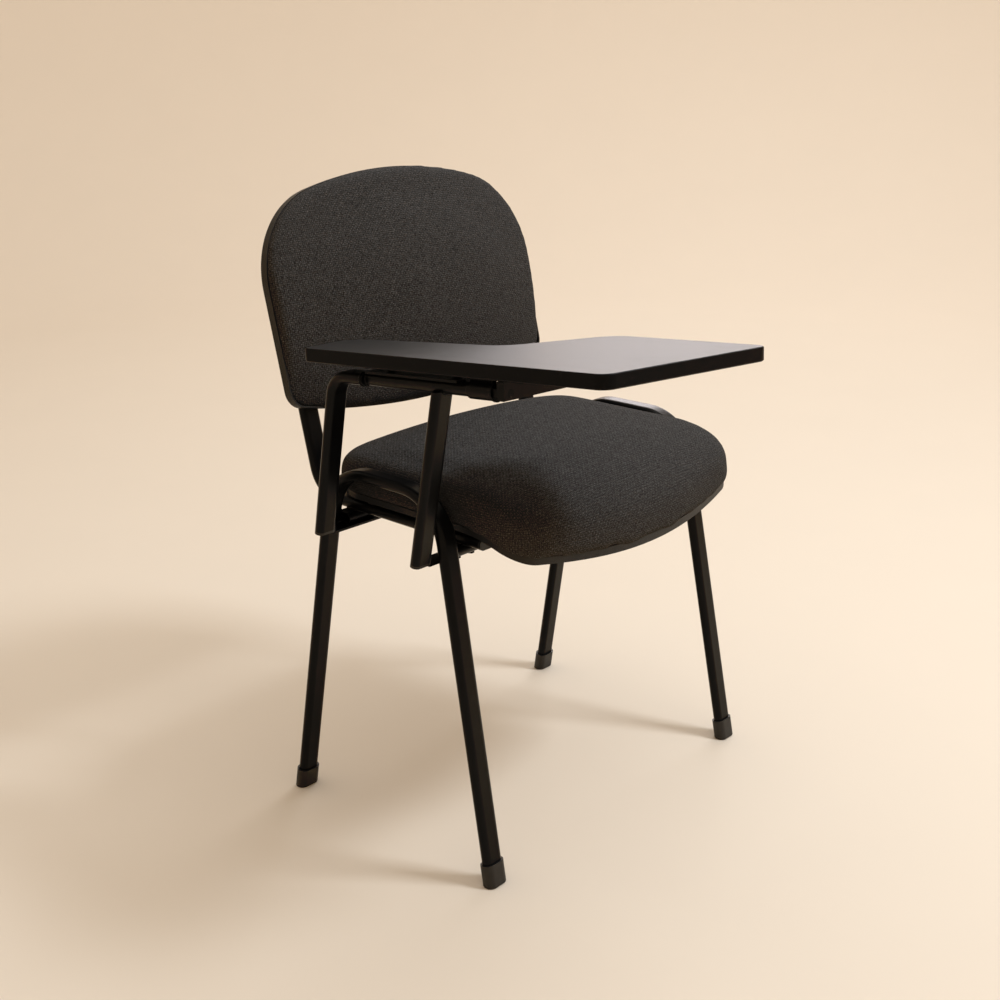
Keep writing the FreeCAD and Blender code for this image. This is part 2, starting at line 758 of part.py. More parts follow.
# Arm posts in one plane outside the right hoop; the rear one bends forward along the hinge line
rise = tangent(hinge_rise)
hinge_height = seat_top + hinge_over_seat
rear_post_y = rear_bracket_edge - rear_post_inset
front_post_y = front_bracket_edge + front_post_inset
shoulder_y = rear_post_y - (hinge_height - post_bottom) * tangent(rear_post_lean)
shoulder_y = shoulder_y / (1 - rise * tangent(rear_post_lean))
shoulder = V(-arm_plane, shoulder_y, hinge_height - shoulder_y * rise)
hinge_origin = V(-arm_plane, 0, hinge_height)
rear_post_foot = V(-arm_plane, rear_post_y, post_bottom)
hinge_ahead = V(0, -math.cos(math.radians(hinge_rise)), math.sin(math.radians(hinge_rise)))
stub_end = hinge_origin + hinge_ahead * stub_reach
rear_post_corners = [rear_post_foot, shoulder, stub_end]
front_post_foot = V(-arm_plane, front_post_y, post_bottom)
front_post_up = unit(V(0, -tangent(front_post_lean), 1))
front_post_length = (hinge_height - post_bottom) / math.cos(math.radians(front_post_lean)) + tube_width
front_post_corners = [front_post_foot, front_post_foot + front_post_up * front_post_length]
rear_post_bar = bent_bar(rear_post_corners, post_bend_radius, tube_width, tube_depth)
keep("arm_rear_post", [bent_tube(rear_post_corners, post_bend_radius)])

# Hinge frame: inboard along +X, rearward along +Y, both leaning with the hinge line
level_hinge = FreeCAD.Placement(hinge_origin, FreeCAD.Rotation(ACROSS, -hinge_rise))
slope_turn = FreeCAD.Placement(V(0, 0, 0), FreeCAD.Rotation(V(0, 1, 0), tablet_slope))
sloped_hinge = level_hinge.multiply(slope_turn)
forward = V(0, -1, 0)


def on_hinge(shape):
    """Move a piece from the hinge's own frame to its place, level across."""
    placed = shape.copy()
    placed.Placement = level_hinge.multiply(placed.Placement)
    return placed


def on_tablet(shape):
    """Move a piece from the hinge's own frame to its place, with the tablet's slope."""
    placed = shape.copy()
    placed.Placement = sloped_hinge.multiply(placed.Placement)
    return placed


def sleeve(outer, inner, start, length):
    """Ring or tube round the hinge line, from a distance forward of Y = 0."""
    tube = rod(outer, V(0, -start, 0), forward, length)
    return tube.cut(rod(inner, V(0, -start, 0), forward, length))


bush_bore = shaft_diameter + 2 * running_clearance
pivot_bore = bush_bore + 2 * bush_wall
pivot_diameter = pivot_bore + 2 * pivot_wall
tube_start = stub_reach + end_plate_thickness
tube_end = tube_start + pivot_length
end_plate = oval_face(tube_width, tube_depth, V(0, -stub_reach, 0), ACROSS, UP)
end_plate = end_plate.extrude(forward * end_plate_thickness)
keep("post_end_plate", [on_hinge(end_plate)])
keep("pivot_tube", [on_hinge(sleeve(pivot_diameter, pivot_bore, tube_start, pivot_length))])

pivot_outside = on_hinge(rod(pivot_diameter, V(0, -tube_start, 0), forward, pivot_length))
over_post = box(-tube_width, tube_width, -2 * pivot_length, pivot_length, -post_saddle, pivot_length)
front_post = bent_tube(front_post_corners, post_bend_radius)
keep("arm_front_post", [front_post.cut(on_hinge(over_post)).cut(pivot_outside)])

post_plugs = []
for foot, corner in ((rear_post_foot, shoulder), (front_post_foot, front_post_corners[1])):
    post_plugs.append(tube_plug(foot, unit(foot - corner)))
keep("post_end_plugs", post_plugs)

# Angle brackets that hang the posts from the cross bars
front_post_bar = bent_bar(front_post_corners, post_bend_radius, tube_width, tube_depth)
bracket_start = -arm_plane + tube_width / 2 - bracket_seat
bracket_bolts = []
bracket_nuts = []
for end, post_bar in (("front", front_post_bar), ("rear", rear_post_bar)):
    low, high, bar_y = bracket_spans[end]
    upright_leg = box(bracket_start, bracket_start + bracket_thickness, low, high,
                      bracket_bottom, bracket_bottom + bracket_height)
    flat_leg = box(bracket_start, bracket_end, low, high, bracket_bottom, bracket_top)
    holes = []
    for x in bracket_bolt_xs:
        bolt_foot = V(x, bracket_bolt_y[end], bracket_bottom)
        holes.append(rod(bracket_hole, bolt_foot - V(0, 0, bracket_thickness), UP, 3 * bracket_thickness))
        head_foot = bolt_foot - V(0, 0, bracket_head_height)
        head = hexagon(bracket_head_flats, head_foot, UP, ACROSS, bracket_head_height)
        shank_length = bracket_thickness + tube_wall + bracket_nut_height + bracket_bolt_spare
        shank = rod(bracket_bolt_diameter, bolt_foot, UP, shank_length)
        bracket_bolts.append(head.fuse(shank).removeSplitter())
        nut_foot = V(x, bracket_bolt_y[end], bar_bottom + tube_wall)
        nut = hexagon(bracket_head_flats, nut_foot, UP, ACROSS, bracket_nut_height)
        bracket_nuts.append(nut.cut(shank))
    bracket = upright_leg.fuse(flat_leg).removeSplitter().cut([post_bar] + holes + post_plugs)
    keep("arm_%s_bracket" % end, [bracket])
keep("bracket_bolts", bracket_bolts)
keep("bracket_nuts", bracket_nuts)

# Stop plate along the pivot tube with two rubber buffers under the tablet
stop_low = pivot_diameter / 2 - stop_sink
stop_high = stop_low + stop_thickness
stop_start = tube_start + stop_step
stop_end = tube_end - stop_front_step
stop_plate = box(-stop_outboard, stop_width - stop_outboard, -stop_end, -stop_start, stop_low, stop_high)
pivot_round = rod(pivot_diameter, V(0, -tube_start, 0), forward, pivot_length)
keep("stop_plate", [on_tablet(stop_plate.cut(pivot_round))])
buffers = []
for place in (stop_start + buffer_end_distance, stop_end - buffer_end_distance):
    foot = V(buffer_inboard, -place, stop_high)
    buffers.append(on_tablet(rod(buffer_diameter, foot, UP, tablet_lift - body_gap - stop_high)))
keep("rest_buffers", buffers)

# Bushes in the pivot tube, and the shaft that turns in them
rear_bush_start = tube_start + rear_bush_step
shaft_rear_end = rear_bush_start - shaft_tail
rear_bush = sleeve(pivot_bore, bush_bore, rear_bush_start, bush_length)
front_bush = sleeve(pivot_bore, bush_bore, tube_end - bush_length, bush_length)
bush_lip = sleeve(pivot_diameter, bush_bore, tube_end, bush_flange)
keep("pivot_bushes", [on_hinge(rear_bush), on_hinge(front_bush.fuse(bush_lip).removeSplitter())])

collar_start = tube_end + bush_flange + body_gap
washer_start = collar_start + collar_length
nut_start = washer_start + washer_thickness
arm_start = nut_start + nut_height
arm_end = arm_start + arm_thickness
shaft = rod(shaft_diameter, V(0, -shaft_rear_end, 0), forward, arm_end - shaft_rear_end)
keep("pivot_shaft", [on_tablet(shaft)])
ring_start = rear_bush_start - body_gap - ring_thickness
ring_diameter = pivot_bore - 2 * ring_gap
keep("shaft_ring", [on_tablet(sleeve(ring_diameter, shaft_diameter, ring_start, ring_thickness))])
keep("pivot_collar", [on_tablet(sleeve(collar_diameter, shaft_diameter, collar_start, collar_length))])
keep("pivot_washer", [on_tablet(sleeve(washer_diameter, shaft_diameter, washer_start, washer_thickness))])
shaft_way = rod(shaft_diameter, V(0, -nut_start, 0), forward, 2 * arm_end)
lock_nut = hexagon(nut_flats, V(0, -nut_start, 0), forward, UP, nut_height)
keep("pivot_lock_nut", [on_tablet(lock_nut.cut(shaft_way))])

# Arm that carries the tablet, with the mounting plate on its top
plate_low = tablet_lift - plate_thickness
tablet_arm = box(-arm_outboard, arm_inboard, -arm_end, -arm_start, -arm_below, plate_low)
keep("tablet_arm", [on_tablet(tablet_arm.cut(shaft_way))])
plate_rear = arm_start - plate_rear_overhang
plate_front = arm_end + plate_front_overhang
plate = box(-plate_outboard, plate_inboard, -plate_front, -plate_rear, plate_low, tablet_lift)

# Tablet: core, laminate and edge band, screwed down on the mounting plate
head_end = tablet_front_reach - tablet_head_length
tablet_corners = [
    (-tablet_outboard, tablet_rear_skew - tablet_rear_reach, tablet_rear_corner),
    (tablet_outer_taper - tablet_outboard, tablet_front_reach - tablet_front_skew, tablet_front_corner),
    (tablet_inboard - tablet_inner_taper, tablet_front_reach, tablet_tip_corner),
    (tablet_inboard, head_end, tablet_inner_corner),
    (tablet_neck_width, head_end - tablet_shoulder_length, tablet_neck_corner),
    (tablet_tail_width, -tablet_rear_reach, tablet_tail_corner),
]
outline = [(x, -arm_start - ahead, radius) for x, ahead, radius in reversed(tablet_corners)]
inner_outline = drawn_in(outline, band_thickness)
tablet_top = tablet_lift + tablet_thickness
core_top = tablet_top - laminate_thickness
screw_places = []
screw_start = screw_first - plate_outboard
screw_step = (plate_inboard - screw_edge - screw_start) / (screw_columns - 1)
for column in range(screw_columns):
    x = screw_start + column * screw_step
    for s in (plate_rear + screw_edge, plate_front - screw_edge):
        screw_places.append((x, -s))
shank_length = plate_thickness + screw_length
shanks = [rod(screw_diameter, V(x, y, plate_low), UP, shank_length) for x, y in screw_places]
screws = []
for (x, y), shank in zip(screw_places, shanks):
    head = rod(screw_head_diameter, V(x, y, plate_low - screw_head_height), UP, screw_head_height)
    screws.append(on_tablet(head.fuse(shank).removeSplitter()))
keep("tablet_mounting_plate", [on_tablet(plate.cut(shanks))])
keep("tablet_screws", screws)
core = rounded_prism(inner_outline, tablet_lift, core_top)
keep("tablet_core", [on_tablet(core.cut(shanks))])
keep("tablet_laminate", [on_tablet(rounded_prism(inner_outline, core_top, tablet_top))])
band_block = rounded_prism(outline, tablet_lift, tablet_top)
rim_edges = [edge for edge in band_block.Edges if edge.BoundBox.ZLength < 0.001]
rounded_block = band_block.makeFillet(band_edge_round, rim_edges)
core_way = rounded_prism(inner_outline, tablet_lift, tablet_top)
keep("tablet_edge_band", [on_tablet(rounded_block.cut(core_way))])

# Move the chair over the floor to its origin and write each piece to its own file
reach = Part.makeCompound(list(pieces.values())).optimalBoundingBox(False, False)
to_origin = V(-(reach.XMin + reach.XMax) / 2, -(reach.YMin + reach.YMax) / 2, 0)
os.makedirs("parts", exist_ok=True)
for name, shape in pieces.items():
    shape.translate(to_origin)
    shape.exportStep("parts/%s.step" % name)
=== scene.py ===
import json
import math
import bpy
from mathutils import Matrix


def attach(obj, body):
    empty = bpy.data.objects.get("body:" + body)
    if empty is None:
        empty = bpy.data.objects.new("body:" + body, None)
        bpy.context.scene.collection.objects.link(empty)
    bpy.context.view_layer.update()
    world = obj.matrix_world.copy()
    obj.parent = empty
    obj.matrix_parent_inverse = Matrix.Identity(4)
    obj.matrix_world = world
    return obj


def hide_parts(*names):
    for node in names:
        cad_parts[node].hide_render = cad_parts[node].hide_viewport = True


bl_info = {
    "name": "Tablet arm chair",
    "version": (1, 0, 0),
    "blender": (4, 5, 0),
    "location": "3D View > Sidebar > Chair",
    "description": "Upholstery, finishes, weld beads, stage and camera for the packed tablet arm chair",
    "category": "Object",
}

import bmesh
import bpy
import numpy as np
from mathutils import Matrix, Vector
from mathutils.bvhtree import BVHTree
from mathutils.kdtree import KDTree

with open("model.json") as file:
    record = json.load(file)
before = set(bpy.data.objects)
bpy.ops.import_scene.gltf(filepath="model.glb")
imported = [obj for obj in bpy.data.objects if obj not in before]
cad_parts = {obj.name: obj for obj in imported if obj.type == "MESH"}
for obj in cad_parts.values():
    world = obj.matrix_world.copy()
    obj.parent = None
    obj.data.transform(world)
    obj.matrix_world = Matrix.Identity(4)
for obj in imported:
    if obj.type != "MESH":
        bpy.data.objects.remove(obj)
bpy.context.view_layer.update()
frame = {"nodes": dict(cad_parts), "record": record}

# Lean of the back, as the frame is built
RECLINE = math.radians(14.2)

# Points of a mesh that are closer than this are one point, in metres and as decimals
SAME_POINT = 0.00001
POINT_DECIMALS = 5


class Wire:
    """An output socket that takes part in Python arithmetic by adding Math nodes."""

    def __init__(self, finish, socket):
        self.finish = finish
        self.socket = socket

    def _math(self, operation, *values):
        feeds = dict(enumerate(values))
        return self.finish.node("ShaderNodeMath", {"operation": operation}, feeds)

    def __add__(self, other):
        return self._math("ADD", self, other)

    __radd__ = __add__

    def __sub__(self, other):
        return self._math("SUBTRACT", self, other)

    def __rsub__(self, other):
        return self._math("SUBTRACT", other, self)

    def __mul__(self, other):
        return self._math("MULTIPLY", self, other)

    __rmul__ = __mul__

    def __truediv__(self, other):
        return self._math("DIVIDE", self, other)

    def __pow__(self, power):
        return self._math("POWER", self, power)

    def __abs__(self):
        return self._math("ABSOLUTE", self)

    def sine(self):
        return self._math("SINE", self)

    def least(self, other):
        return self._math("MINIMUM", self, other)

    def most(self, other):
        return self._math("MAXIMUM", self, other)

    def band(self, low, high):
        """0 below low, 1 above high, and a smooth step between them."""
        settings = {"interpolation_type": "SMOOTHSTEP"}
        feeds = {"Value": self, "From Min": low, "From Max": high}
        return self.finish.node("ShaderNodeMapRange", settings, feeds)

    def output(self, name):
        """Another output of the same node."""
        return Wire(self.finish, self.socket.node.outputs[name])


class Finish:
    """One procedural material, built up around its Principled shader."""

    def __init__(self, name):
        self.material = bpy.data.materials.new(name)
        self.material.use_nodes = True
        self.tree = self.material.node_tree
        self.shader = next(n for n in self.tree.nodes if n.type == "BSDF_PRINCIPLED")

    def node(self, kind, settings=None, feeds=None, output=0):
        """Add a node: its settings first, then the values or links of its sockets."""
        made = self.tree.nodes.new(kind)
        for key, value in (settings or {}).items():
            setattr(made, key, value)
        for key, value in (feeds or {}).items():
            self.feed(made.inputs[key], value)
        return Wire(self, made.outputs[output])

    def feed(self, socket, value):
        """Link a wire to a socket, or set the socket's value."""
        if isinstance(value, Wire):
            self.tree.links.new(value.socket, socket)
        else:
            socket.default_value = value

    def surface(self, **values):
        """Set the shader's sockets by name, with underscores for spaces."""
        for key, value in values.items():
            self.feed(self.shader.inputs[key.replace("_", " ")], value)

    def place(self, output="Object"):
        """The piece's own coordinates, in metres, or its normals."""
        return self.node("ShaderNodeTexCoord", output=output)

    def stretched(self, vector, scale, turn=(0, 0, 0)):
        """Coordinates scaled and then turned."""
        feeds = {"Vector": vector, "Rotation": turn, "Scale": scale}
        return self.node("ShaderNodeMapping", {"vector_type": "POINT"}, feeds)

    def axes(self, vector):
        """The three parts of a vector or colour."""
        split = self.node("ShaderNodeSeparateXYZ", feeds={"Vector": vector})
        return split, split.output("Y"), split.output("Z")

    def noise(self, vector, scale, detail=2.0, roughness=0.5):
        """Cloudy noise, from 0 to 1."""
        feeds = {"Vector": vector, "Scale": scale, "Detail": detail, "Roughness": roughness}
        return self.node("ShaderNodeTexNoise", feeds=feeds)

    def mixed(self, factor, first, second):
        """A colour between two others."""
        settings = {"data_type": "RGBA"}
        return self.node("ShaderNodeMix", settings, {0: factor, 6: first, 7: second}, 2)

    def relief(self, height, strength, depth):
        """A normal from a height in the given depth, in metres."""
        return self.node("ShaderNodeBump", feeds={"Strength": strength, "Distance": depth, "Height": height})


def tinted(colour, factor):
    """The same colour, lighter or darker."""
    return (colour[0] * factor, colour[1] * factor, colour[2] * factor, 1.0)


def colour_property(name, description, default):
    """A colour that a property group holds."""
    return bpy.props.FloatVectorProperty(name=name, description=description, subtype="COLOR",
                                         size=3, min=0.0, max=1.0, default=default)


class ChairFinishes(bpy.types.PropertyGroup):
    """Colours of the chair's finishes, and the sizes of its weld beads and weave"""

    paint: colour_property("Frame paint", "Powder coat on the steel tubes", (0.0042, 0.0042, 0.0044))
    plastic: colour_property("Boots and plugs", "Moulded plastic of the small parts", (0.012, 0.012, 0.0125))
    shell: colour_property("Shells", "Grained plastic under the seat and behind the back",
                           (0.018, 0.018, 0.0185))
    yarn_dark: colour_property("Dark yarn", "Darker yarn of the upholstery", (0.0184, 0.0176, 0.0172))
    yarn_light: colour_property("Light yarn", "Lighter yarn of the upholstery", (0.122, 0.1165, 0.113))
    laminate: colour_property("Tablet top", "Matte laminate of the tablet", (0.020, 0.020, 0.021))
    strip: colour_property("Tablet edge", "Edge strip of the tablet", (0.006, 0.006, 0.0062))
    steel: colour_property("Fasteners", "Oxide-black steel of bolts, nuts and shaft", (0.020, 0.020, 0.021))
    plywood: colour_property("Plywood", "Moulded boards inside the cushions", (0.52, 0.36, 0.21))
    bead: bpy.props.FloatProperty(
        name="Weld bead", description="Radius of the weld beads",
        default=0.0017, min=0.0005, max=0.006, subtype="DISTANCE", unit="LENGTH")
    thread_pitch: bpy.props.FloatProperty(
        name="Thread pitch", description="Distance between threads of the weave",
        default=0.0027, min=0.0003, max=0.01, subtype="DISTANCE", unit="LENGTH")


class ChairUpholstery(bpy.types.PropertyGroup):
    """Sizes of the upholstery"""

    voxel: bpy.props.FloatProperty(
        name="Grid size", description="Size of the cloth's faces before subdivision",
        default=0.0045, min=0.003, max=0.01, subtype="DISTANCE", unit="LENGTH")
    pressure: bpy.props.FloatProperty(
        name="Pressure", description="How hard the foam presses the cover out",
        default=4.0, min=0.0, max=20.0)
    slack: bpy.props.FloatProperty(
        name="Slack", description="How far the cover is drawn in before it swells",
        default=0.003, min=0.0, max=0.02, subtype="DISTANCE", unit="LENGTH")
    swell: bpy.props.FloatProperty(
        name="Most swell", description="How far any point of the cover may swell",
        default=0.005, min=0.0, max=0.03, subtype="DISTANCE", unit="LENGTH")
    tuck: bpy.props.FloatProperty(
        name="Tuck", description="Height of the cover that is held in the shell",
        default=0.008, min=0.002, max=0.03, subtype="DISTANCE", unit="LENGTH")
    roll: bpy.props.FloatProperty(
        name="Roll", description="How far the cover rolls out over the shell's rim",
        default=0.003, min=0.0, max=0.01, subtype="DISTANCE", unit="LENGTH")
    bulge: bpy.props.FloatProperty(
        name="Bulge", description="How far the seat's foam stands out between rim and top",
        default=0.007, min=0.0, max=0.02, subtype="DISTANCE", unit="LENGTH")
    seat_lift: bpy.props.FloatProperty(
        name="Seat lift", description="How far the seat's foam stands up under its cover",
        default=0.0055, min=0.0, max=0.02, subtype="DISTANCE", unit="LENGTH")
    seat_rounding: bpy.props.IntProperty(
        name="Seat rounding", description="How often the seat foam's corners are softened",
        default=40, min=0, max=200)
    back_rounding: bpy.props.IntProperty(
        name="Back rounding", description="How often the back foam's corners are softened",
        default=9, min=0, max=200)
    frames: bpy.props.IntProperty(
        name="Frames", description="Frames of the cloth simulation",
        default=20, min=2, max=60)


class ChairStage(bpy.types.PropertyGroup):
    """Floor and camera"""

    floor: colour_property("Floor", "Paper of the floor and background", (0.80, 0.70, 0.585))
    azimuth: bpy.props.FloatProperty(
        name="Azimuth", description="Camera's turn round the chair",
        default=-0.83537, subtype="ANGLE", unit="ROTATION")
    elevation: bpy.props.FloatProperty(
        name="Elevation", description="Camera's angle over the horizon",
        default=0.32346, subtype="ANGLE", unit="ROTATION")
    roll: bpy.props.FloatProperty(
        name="Roll", description="Camera's turn about its own line of sight",
        default=0.00157, subtype="ANGLE", unit="ROTATION")
    distance: bpy.props.FloatProperty(
        name="Distance", description="Camera's distance from its target",
        default=1.79332, min=0.5, subtype="DISTANCE", unit="LENGTH")
    target: bpy.props.FloatVectorProperty(
        name="Target", description="Point that the camera looks at", size=3,
        default=(-0.02934, 0.06381, 0.4048), subtype="TRANSLATION", unit="LENGTH")
    lens: bpy.props.FloatProperty(
        name="Lens", description="Focal length on a 36 mm sensor",
        default=48.527, min=10.0, subtype="DISTANCE_CAMERA", unit="CAMERA")


def linked(name, mesh):
    """A new object with this mesh, in the scene."""
    made = bpy.data.objects.new(name, mesh)
    bpy.context.scene.collection.objects.link(made)
    return made


def filled(shape, name):
    """A new mesh from a bmesh, which is then let go."""
    mesh = bpy.data.meshes.new(name)
    shape.to_mesh(mesh)
    shape.free()
    return mesh


def smooth_shaded(mesh):
    """Shade every face of a mesh smooth."""
    mesh.polygons.foreach_set("use_smooth", [True] * len(mesh.polygons))


def dress(names, finish):
    """Give CAD nodes a finish."""
    for name in names:
        node = frame["nodes"][name]
        node.data.materials.clear()
        node.data.materials.append(finish.material)


def powder_coat(colours):
    """Satin black coat with a fine peel, rubbed and dusty in places."""
    coat = Finish("satin_black_paint")
    place = coat.place()
    peel = coat.noise(place, 700.0, 2.0, 0.55)
    cloud = coat.noise(place, 14.0, 3.0, 0.6)
    rub = coat.noise(coat.stretched(place, (60.0, 60.0, 6.0)), 1.0, 4.0, 0.65).band(0.60, 0.74)
    dust = coat.noise(place, 260.0, 2.0, 0.7).band(0.55, 0.85)
    base = coat.mixed(cloud.band(0.3, 0.7), tinted(colours.paint, 0.85), tinted(colours.paint, 1.25))
    worn = coat.mixed(rub * 0.35 + dust * 0.12, base, tinted(colours.paint, 3.2))
    coat.surface(Base_Color=worn, Roughness=0.26 + cloud * 0.08 + rub * 0.08,
                 Normal=coat.relief(peel, 0.12, 0.0004), Specular_IOR_Level=0.22)
    return coat


class CHAIR_OT_paint_frame(bpy.types.Operator):
    """Satin black powder coat for the tubes, brackets and plates"""

    bl_idname = "chair.paint_frame"
    bl_label = "Paint the frame"

    def execute(self, context):
        coat = powder_coat(context.scene.chair_finishes)
        dress(["right_side_hoop", "left_side_hoop", "front_cross_bar", "rear_cross_bar",
               "right_back_upright", "left_back_upright", "arm_rear_post", "arm_front_post",
               "arm_rear_bracket", "arm_front_bracket", "post_end_plate", "pivot_tube", "stop_plate",
               "pivot_collar", "tablet_arm", "tablet_mounting_plate"], coat)
        return {"FINISHED"}


# Pieces of the frame that are closer than this touch, in metres
TOUCH = 0.0004

# An edge that faces a wall of its own piece within this reach lies inside a tube and gets no bead
BORE = 0.026

# How far off the edge the look for that wall starts
CLEAR = 0.0003


def contact_edges(first, second):
    """Edges of one CAD node that bound the patch where it meets another, on its outside."""
    target = frame["nodes"][second].data
    tree = BVHTree.FromPolygons([v.co for v in target.vertices], [p.vertices for p in target.polygons])
    shape = bmesh.new()
    shape.from_mesh(frame["nodes"][first].data)
    bmesh.ops.remove_doubles(shape, verts=shape.verts, dist=SAME_POINT)
    own = BVHTree.FromBMesh(shape)
    near = {v for v in shape.verts if tree.find_nearest(v.co, TOUCH)[0] is not None}
    found = []
    for edge in shape.edges:
        if edge.verts[0] not in near or edge.verts[1] not in near:
            continue
        free = [face for face in edge.link_faces if any(v not in near for v in face.verts)]
        if len(free) != 1:
            continue
        middle = (edge.verts[0].co + edge.verts[1].co) / 2
        facing = free[0].normal
        wall = own.ray_cast(middle + facing * CLEAR, facing, BORE)[0]
        if wall is None:
            found.append(tuple(tuple(round(c, POINT_DECIMALS) for c in v.co) for v in edge.verts))
    shape.free()
    return found


def chained(edges):
    """Join edges into runs of points."""
    links = {}
    for first, second in edges:
        links.setdefault(first, set()).add(second)
        links.setdefault(second, set()).add(first)
    runs = []
    while links:
        ends = [p for p, others in links.items() if len(others) == 1]
        here = min(ends or links)
        run = [here]
        while links.get(here):
            after = min(links[here])
            links[here].discard(after)
            links[after].discard(here)
            run.append(after)
            here = after
        for point in run:
            if point in links and not links[point]:
                del links[point]
        runs.append([Vector(p) for p in run])
    return runs


# Step between a bead's points in radii, its ripple and the turn of that from point to point, and its
# radius at an open end with the growth from there
BEAD_STEP = 0.55
RIPPLE = 0.16
RIPPLE_TURN = 0.9 * math.pi
END_SIZE = 0.35
END_GROWTH = 0.3


def bead_run(curve, run, size):
    """Lay a rippled bead along a run of points, thin at its open ends."""
    total = sum((b - a).length for a, b in zip(run, run[1:]))
    if total < 2 * size:
        return
    count = max(4, int(total / (BEAD_STEP * size)))
    spots = []
    reach, index = 0.0, 0
    for k in range(count + 1):
        goal = total * k / count
        while index < len(run) - 2 and reach + (run[index + 1] - run[index]).length < goal:
            reach += (run[index + 1] - run[index]).length
            index += 1
        step = run[index + 1] - run[index]
        spots.append(run[index] + step * min(1.0, (goal - reach) / max(step.length, 1e-9)))
    closed = (run[0] - run[-1]).length < size
    spline = curve.splines.new("POLY")
    spline.points.add(len(spots) - 1)
    for k, spot in enumerate(spots):
        spline.points[k].co = (*spot, 1.0)
        ripple = 1.0 + RIPPLE * math.cos(k * RIPPLE_TURN)
        end = 1.0 if closed else min(1.0, END_SIZE + END_GROWTH * min(k, len(spots) - 1 - k))
        spline.points[k].radius = ripple * end


# Pairs of pieces that are welded together
WELDS = (("front_cross_bar", "right_side_hoop"), ("front_cross_bar", "left_side_hoop"),
         ("rear_cross_bar", "right_side_hoop"), ("rear_cross_bar", "left_side_hoop"),
         ("front_cross_bar", "right_back_upright"), ("front_cross_bar", "left_back_upright"),
         ("rear_cross_bar", "right_back_upright"), ("rear_cross_bar", "left_back_upright"),
         ("arm_front_bracket", "arm_front_post"), ("arm_rear_bracket", "arm_rear_post"),
         ("arm_front_post", "pivot_tube"), ("post_end_plate", "arm_rear_post"),
         ("pivot_tube", "post_end_plate"), ("stop_plate", "pivot_tube"))


# The web's half width at its waist, its flare at both ends, how far it sinks into the pieces that it
# joins, how far it stands in from the collar's ends, and its steps along and up
WEB_WAIST = 0.0026
WEB_FLARE = 1.4
WEB_SINK = 0.0004
WEB_END = 0.001
WEB_STEPS = 12
WEB_LEVELS = 6


def collar_web():
    """Welded web that ties the pivot collar to the plate over it."""
    joint = frame["record"]["behaviour"]["joints"][0]
    pivot = Vector(joint["pos_m"])
    axis = Vector(joint["axis"]).normalized()
    inboard = Vector((1.0, 0.0, 0.0))
    upward = inboard.cross(axis).normalized()
    upward = upward if upward.z > 0 else -upward
    collar = [v.co - pivot for v in frame["nodes"]["pivot_collar"].data.vertices]
    reach = [p.dot(axis) for p in collar]
    radius = max((p - axis * p.dot(axis)).length for p in collar)
    plate = frame["nodes"]["tablet_mounting_plate"].data
    under = min(plate.polygons, key=lambda face: (round(face.normal.z, 3), -face.area))
    shape = bmesh.new()
    rings = []
    start = min(reach) + WEB_END
    length = max(reach) - min(reach) - 2 * WEB_END
    for k in range(WEB_STEPS + 1):
        foot = pivot + axis * (start + length * k / WEB_STEPS)
        ring = []
        for side in (-1, 1):
            for level in range(WEB_LEVELS + 1):
                share = level / WEB_LEVELS if side < 0 else 1 - level / WEB_LEVELS
                width = WEB_WAIST * (1.0 + WEB_FLARE * (2 * share - 1) ** 2)
                low = foot + upward * (math.sqrt(radius ** 2 - width ** 2) - WEB_SINK)
                lift = (under.center - low).dot(under.normal) / upward.dot(under.normal) + WEB_SINK
                ring.append(shape.verts.new(low + upward * lift * share + inboard * side * width))
        rings.append(ring)
    for first, second in zip(rings, rings[1:]):
        for k in range(len(first)):
            after = (k + 1) % len(first)
            shape.faces.new((first[k], first[after], second[after], second[k]))
    shape.faces.new(rings[0][::-1])
    shape.faces.new(rings[-1])
    bmesh.ops.recalc_face_normals(shape, faces=shape.faces)
    mesh = filled(shape, "collar_web")
    mesh.materials.append(bpy.data.materials["satin_black_paint"])
    web = linked("collar_web", mesh)
    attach(web, "tablet")


class CHAIR_OT_weld_frame(bpy.types.Operator):
    """Weld beads where tubes, plates and brackets of the frame meet, and the pivot collar's web"""

    bl_idname = "chair.weld_frame"
    bl_label = "Weld the frame"

    def execute(self, context):
        size = context.scene.chair_finishes.bead
        curve = bpy.data.curves.new("weld_beads", "CURVE")
        curve.dimensions = "3D"
        curve.bevel_depth = size
        curve.bevel_resolution = 2
        for first, second in WELDS:
            for run in chained(contact_edges(first, second)):
                bead_run(curve, run, size)
        draft = bpy.data.objects.new("weld_draft", curve)
        context.scene.collection.objects.link(draft)
        mesh = bpy.data.meshes.new_from_object(draft.evaluated_get(context.evaluated_depsgraph_get()))
        bpy.data.objects.remove(draft)
        mesh.materials.clear()
        mesh.materials.append(bpy.data.materials["satin_black_paint"])
        smooth_shaded(mesh)
        beads = linked("weld_beads", mesh)
        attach(beads, "frame")
        collar_web()
        return {"FINISHED"}


# Height over the floor at which the boots' heavier scuffs end, in metres
SCUFF_HEIGHT = 0.022


def boot_plastic(colours):
    """Satin moulded plastic, scuffed grey near the floor."""
    boots = Finish("moulded_black_plastic")
    place = boots.place()
    cloud = boots.noise(place, 40.0, 3.0, 0.6)
    scuff = boots.noise(boots.stretched(place, (90.0, 90.0, 420.0)), 1.0, 4.0, 0.7).band(0.56, 0.72)
    near_floor = 1.0 - boots.axes(place)[2].band(0.0, SCUFF_HEIGHT)
    grey = boots.mixed(scuff * (0.15 + near_floor * 0.5),
                       tinted(colours.plastic, 1.0), tinted(colours.plastic, 4.0))
    boots.surface(Base_Color=grey, Roughness=0.42 + cloud * 0.12 + scuff * 0.1,
                  Normal=boots.relief(boots.noise(place, 1500.0, 1.0), 0.18, 0.0003))
    return boots


